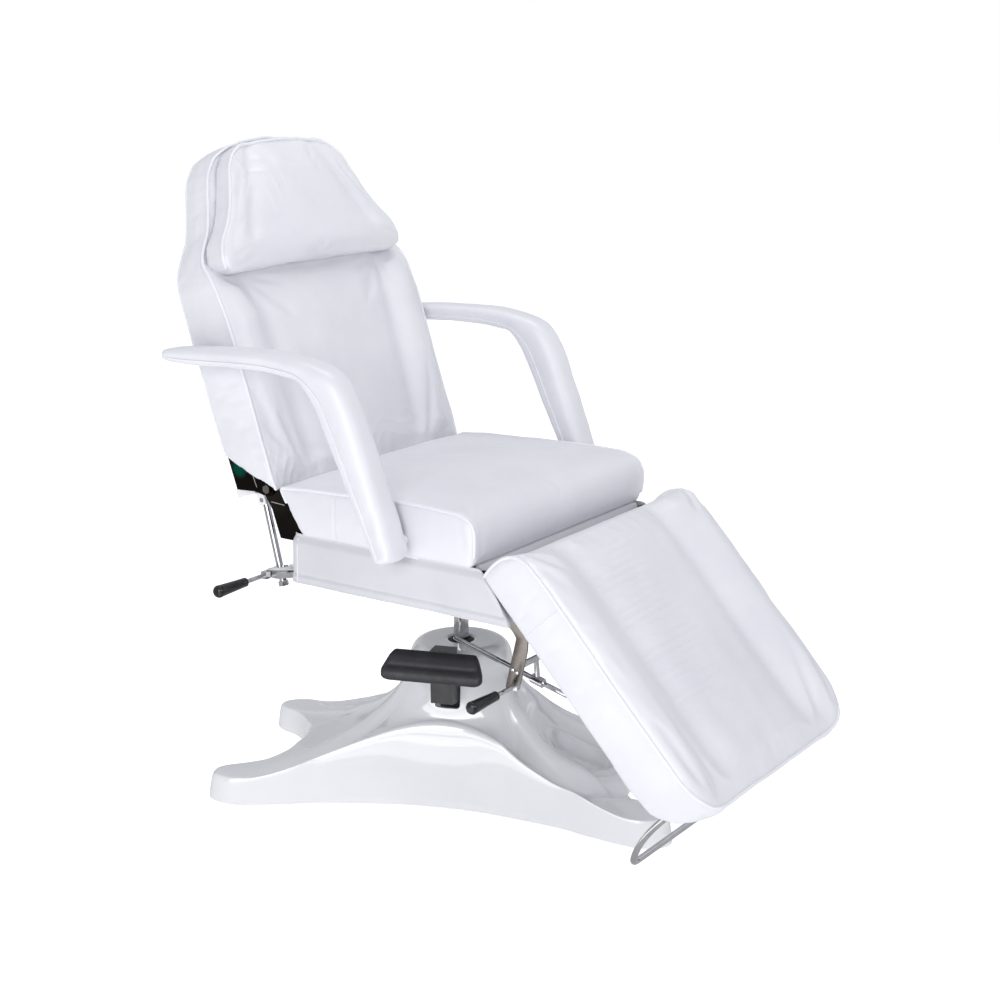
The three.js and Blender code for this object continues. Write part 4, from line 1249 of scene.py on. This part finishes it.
def build_studio():
    floor = quad("floor", [(-30, -30, 0), (30, -30, 0), (30, 30, 0), (-30, 30, 0)])
    s = Shader("floor", roughness=0.8, specular_ior_level=0.2)
    s.surface.inputs["Emission Color"].default_value = (1.0, 1.0, 1.0, 1)
    s.surface.inputs["Emission Strength"].default_value = 0.60
    s.colours(s.noise(3, 2, 0.5), [(0.3, (0.80, 0.80, 0.81)), (0.7, (0.82, 0.82, 0.83))])
    floor.data.materials.append(s.material)

    world = bpy.data.worlds.new("studio")
    bpy.context.scene.world = world
    world.use_nodes = True
    world.node_tree.nodes["Background"].inputs["Color"].default_value = (0.93, 0.95, 1.0, 1)
    world.node_tree.nodes["Background"].inputs["Strength"].default_value = 0.61

    def softbox(name, location, target, width, height, power):
        data = bpy.data.lights.new(name, "AREA")
        data.shape = "RECTANGLE"
        data.size, data.size_y, data.energy = width, height, power
        light = bpy.data.objects.new(name, data)
        light.location = location
        light.rotation_euler = (Vector(target) - Vector(location)).to_track_quat("-Z", "Y").to_euler()
        light.visible_camera = False
        bpy.context.collection.objects.link(light)

    softbox("key", (-4.2, -0.9, 2.2), (0, 0, 0.6), 2.0, 1.6, 60)
    softbox("fill", (-1.0, -4.2, 2.6), (0, 0, 0.5), 1.8, 1.4, 39)
    softbox("top", (0.6, 0.3, 3.6), (0, 0, 0.6), 1.6, 1.6, 30)

    # The white sweeps behind the chair are seen only by the camera, and the dark and bright cards, which
    # give plated and glossy parts their edges, only in reflections.
    def seen_only_by(rays, plane, strength):
        look = Shader(plane.name, roughness=1.0, specular_ior_level=0.0)
        look.surface.inputs["Emission Color"].default_value = (1.0, 1.0, 1.0, 1)
        look.surface.inputs["Emission Strength"].default_value = strength
        look.surface.inputs["Base Color"].default_value = (0.0, 0.0, 0.0, 1)
        plane.data.materials.append(look.material)
        for ray in ("camera", "diffuse", "glossy", "shadow", "transmission", "volume_scatter"):
            setattr(plane, f"visible_{ray}", ray in rays)

    def card(name, centre, width, height, strength, rays=MIRRORED):
        plane = quad(name, [(-width / 2, 0, -height / 2), (width / 2, 0, -height / 2),
                            (width / 2, 0, height / 2), (-width / 2, 0, height / 2)])
        aim = (Vector((0, 0, 0.5)) - Vector(centre)).to_track_quat("Y", "Z").to_matrix().to_4x4()
        plane.data.transform(Matrix.Translation(centre) @ aim)
        seen_only_by(rays, plane, strength)

    for side, (x, y) in enumerate(((16, 11), (-16, 11), (-16, -11), (16, -11))):
        card(f"sweep_{side}", (x, y, 0.5), 60, 60, 1.0, ("camera",))
    card("dark_card_near", (-1.3, -3.6, 0.7), 1.2, 1.8, 0.03)
    card("dark_card_left", (-3.4, 1.2, 0.9), 1.3, 2.0, 0.03)
    card("dark_card_far", (3.2, -1.6, 0.8), 1.4, 1.8, 0.05)
    card("dark_card_rear", (0.8, 3.6, 0.9), 1.4, 1.8, 0.05)
    card("bright_panel", (-3.0, -1.9, 2.4), 1.1, 1.5, 5.0)
    card("window_upper", (-2.6, -0.22, 0.80), 2.0, 0.70, 3.4)
    card("window_lower", (-2.6, -0.22, 0.20), 2.0, 0.34, 3.4)
    shade = quad("floor_shade", [(-5, -5, 0.001), (5, -5, 0.001), (5, 5, 0.001), (-5, 5, 0.001)])
    seen_only_by(MIRRORED, shade, 0.55)
    window = quad("window_floor", [(-2.6, -1.0, 0.004), (-0.62, -0.5, 0.004), (-0.62, 0.3, 0.004),
                                   (-2.6, 0.8, 0.004)])
    seen_only_by(MIRRORED, window, 1.9)


def build_camera():
    """The photograph's viewpoint: low three-quarter view from the sitter's right and front."""
    azimuth, elevation, roll = (math.radians(v) for v in (-56.3, 14.4, 0.4))
    back = Vector((math.sin(azimuth) * math.cos(elevation), -math.cos(azimuth) * math.cos(elevation),
                   math.sin(elevation)))
    right = Vector((math.cos(azimuth), math.sin(azimuth), 0))
    up = back.cross(right)
    rolled_right = right * math.cos(roll) + up * math.sin(roll)
    rolled_up = up * math.cos(roll) - right * math.sin(roll)
    data = bpy.data.cameras.new("camera")
    data.sensor_width = 36
    data.lens = 68.8
    camera = bpy.data.objects.new("camera", data)
    turn = Matrix((rolled_right, rolled_up, back)).transposed().to_4x4()
    camera.matrix_world = Matrix.Translation((-3.0281, -2.1118, 1.5497)) @ turn
    bpy.context.collection.objects.link(camera)
    scene = bpy.context.scene
    scene.camera = camera
    scene.view_settings.view_transform = "Standard"


dress_frame()
build_seat()
build_back()
build_pillow()
build_leg()
for arm_side, arm_sign in SIDES:
    build_arm(arm_side, arm_sign)
build_skirt()
build_base()
build_pedal()
build_column()
for lever in ("rear", "front"):
    build_grip(lever)
build_foot_bar()
build_hanger()
build_clamp()
build_rear_clamp()
build_hinge_edges()
build_hardware()
build_studio()
build_camera()
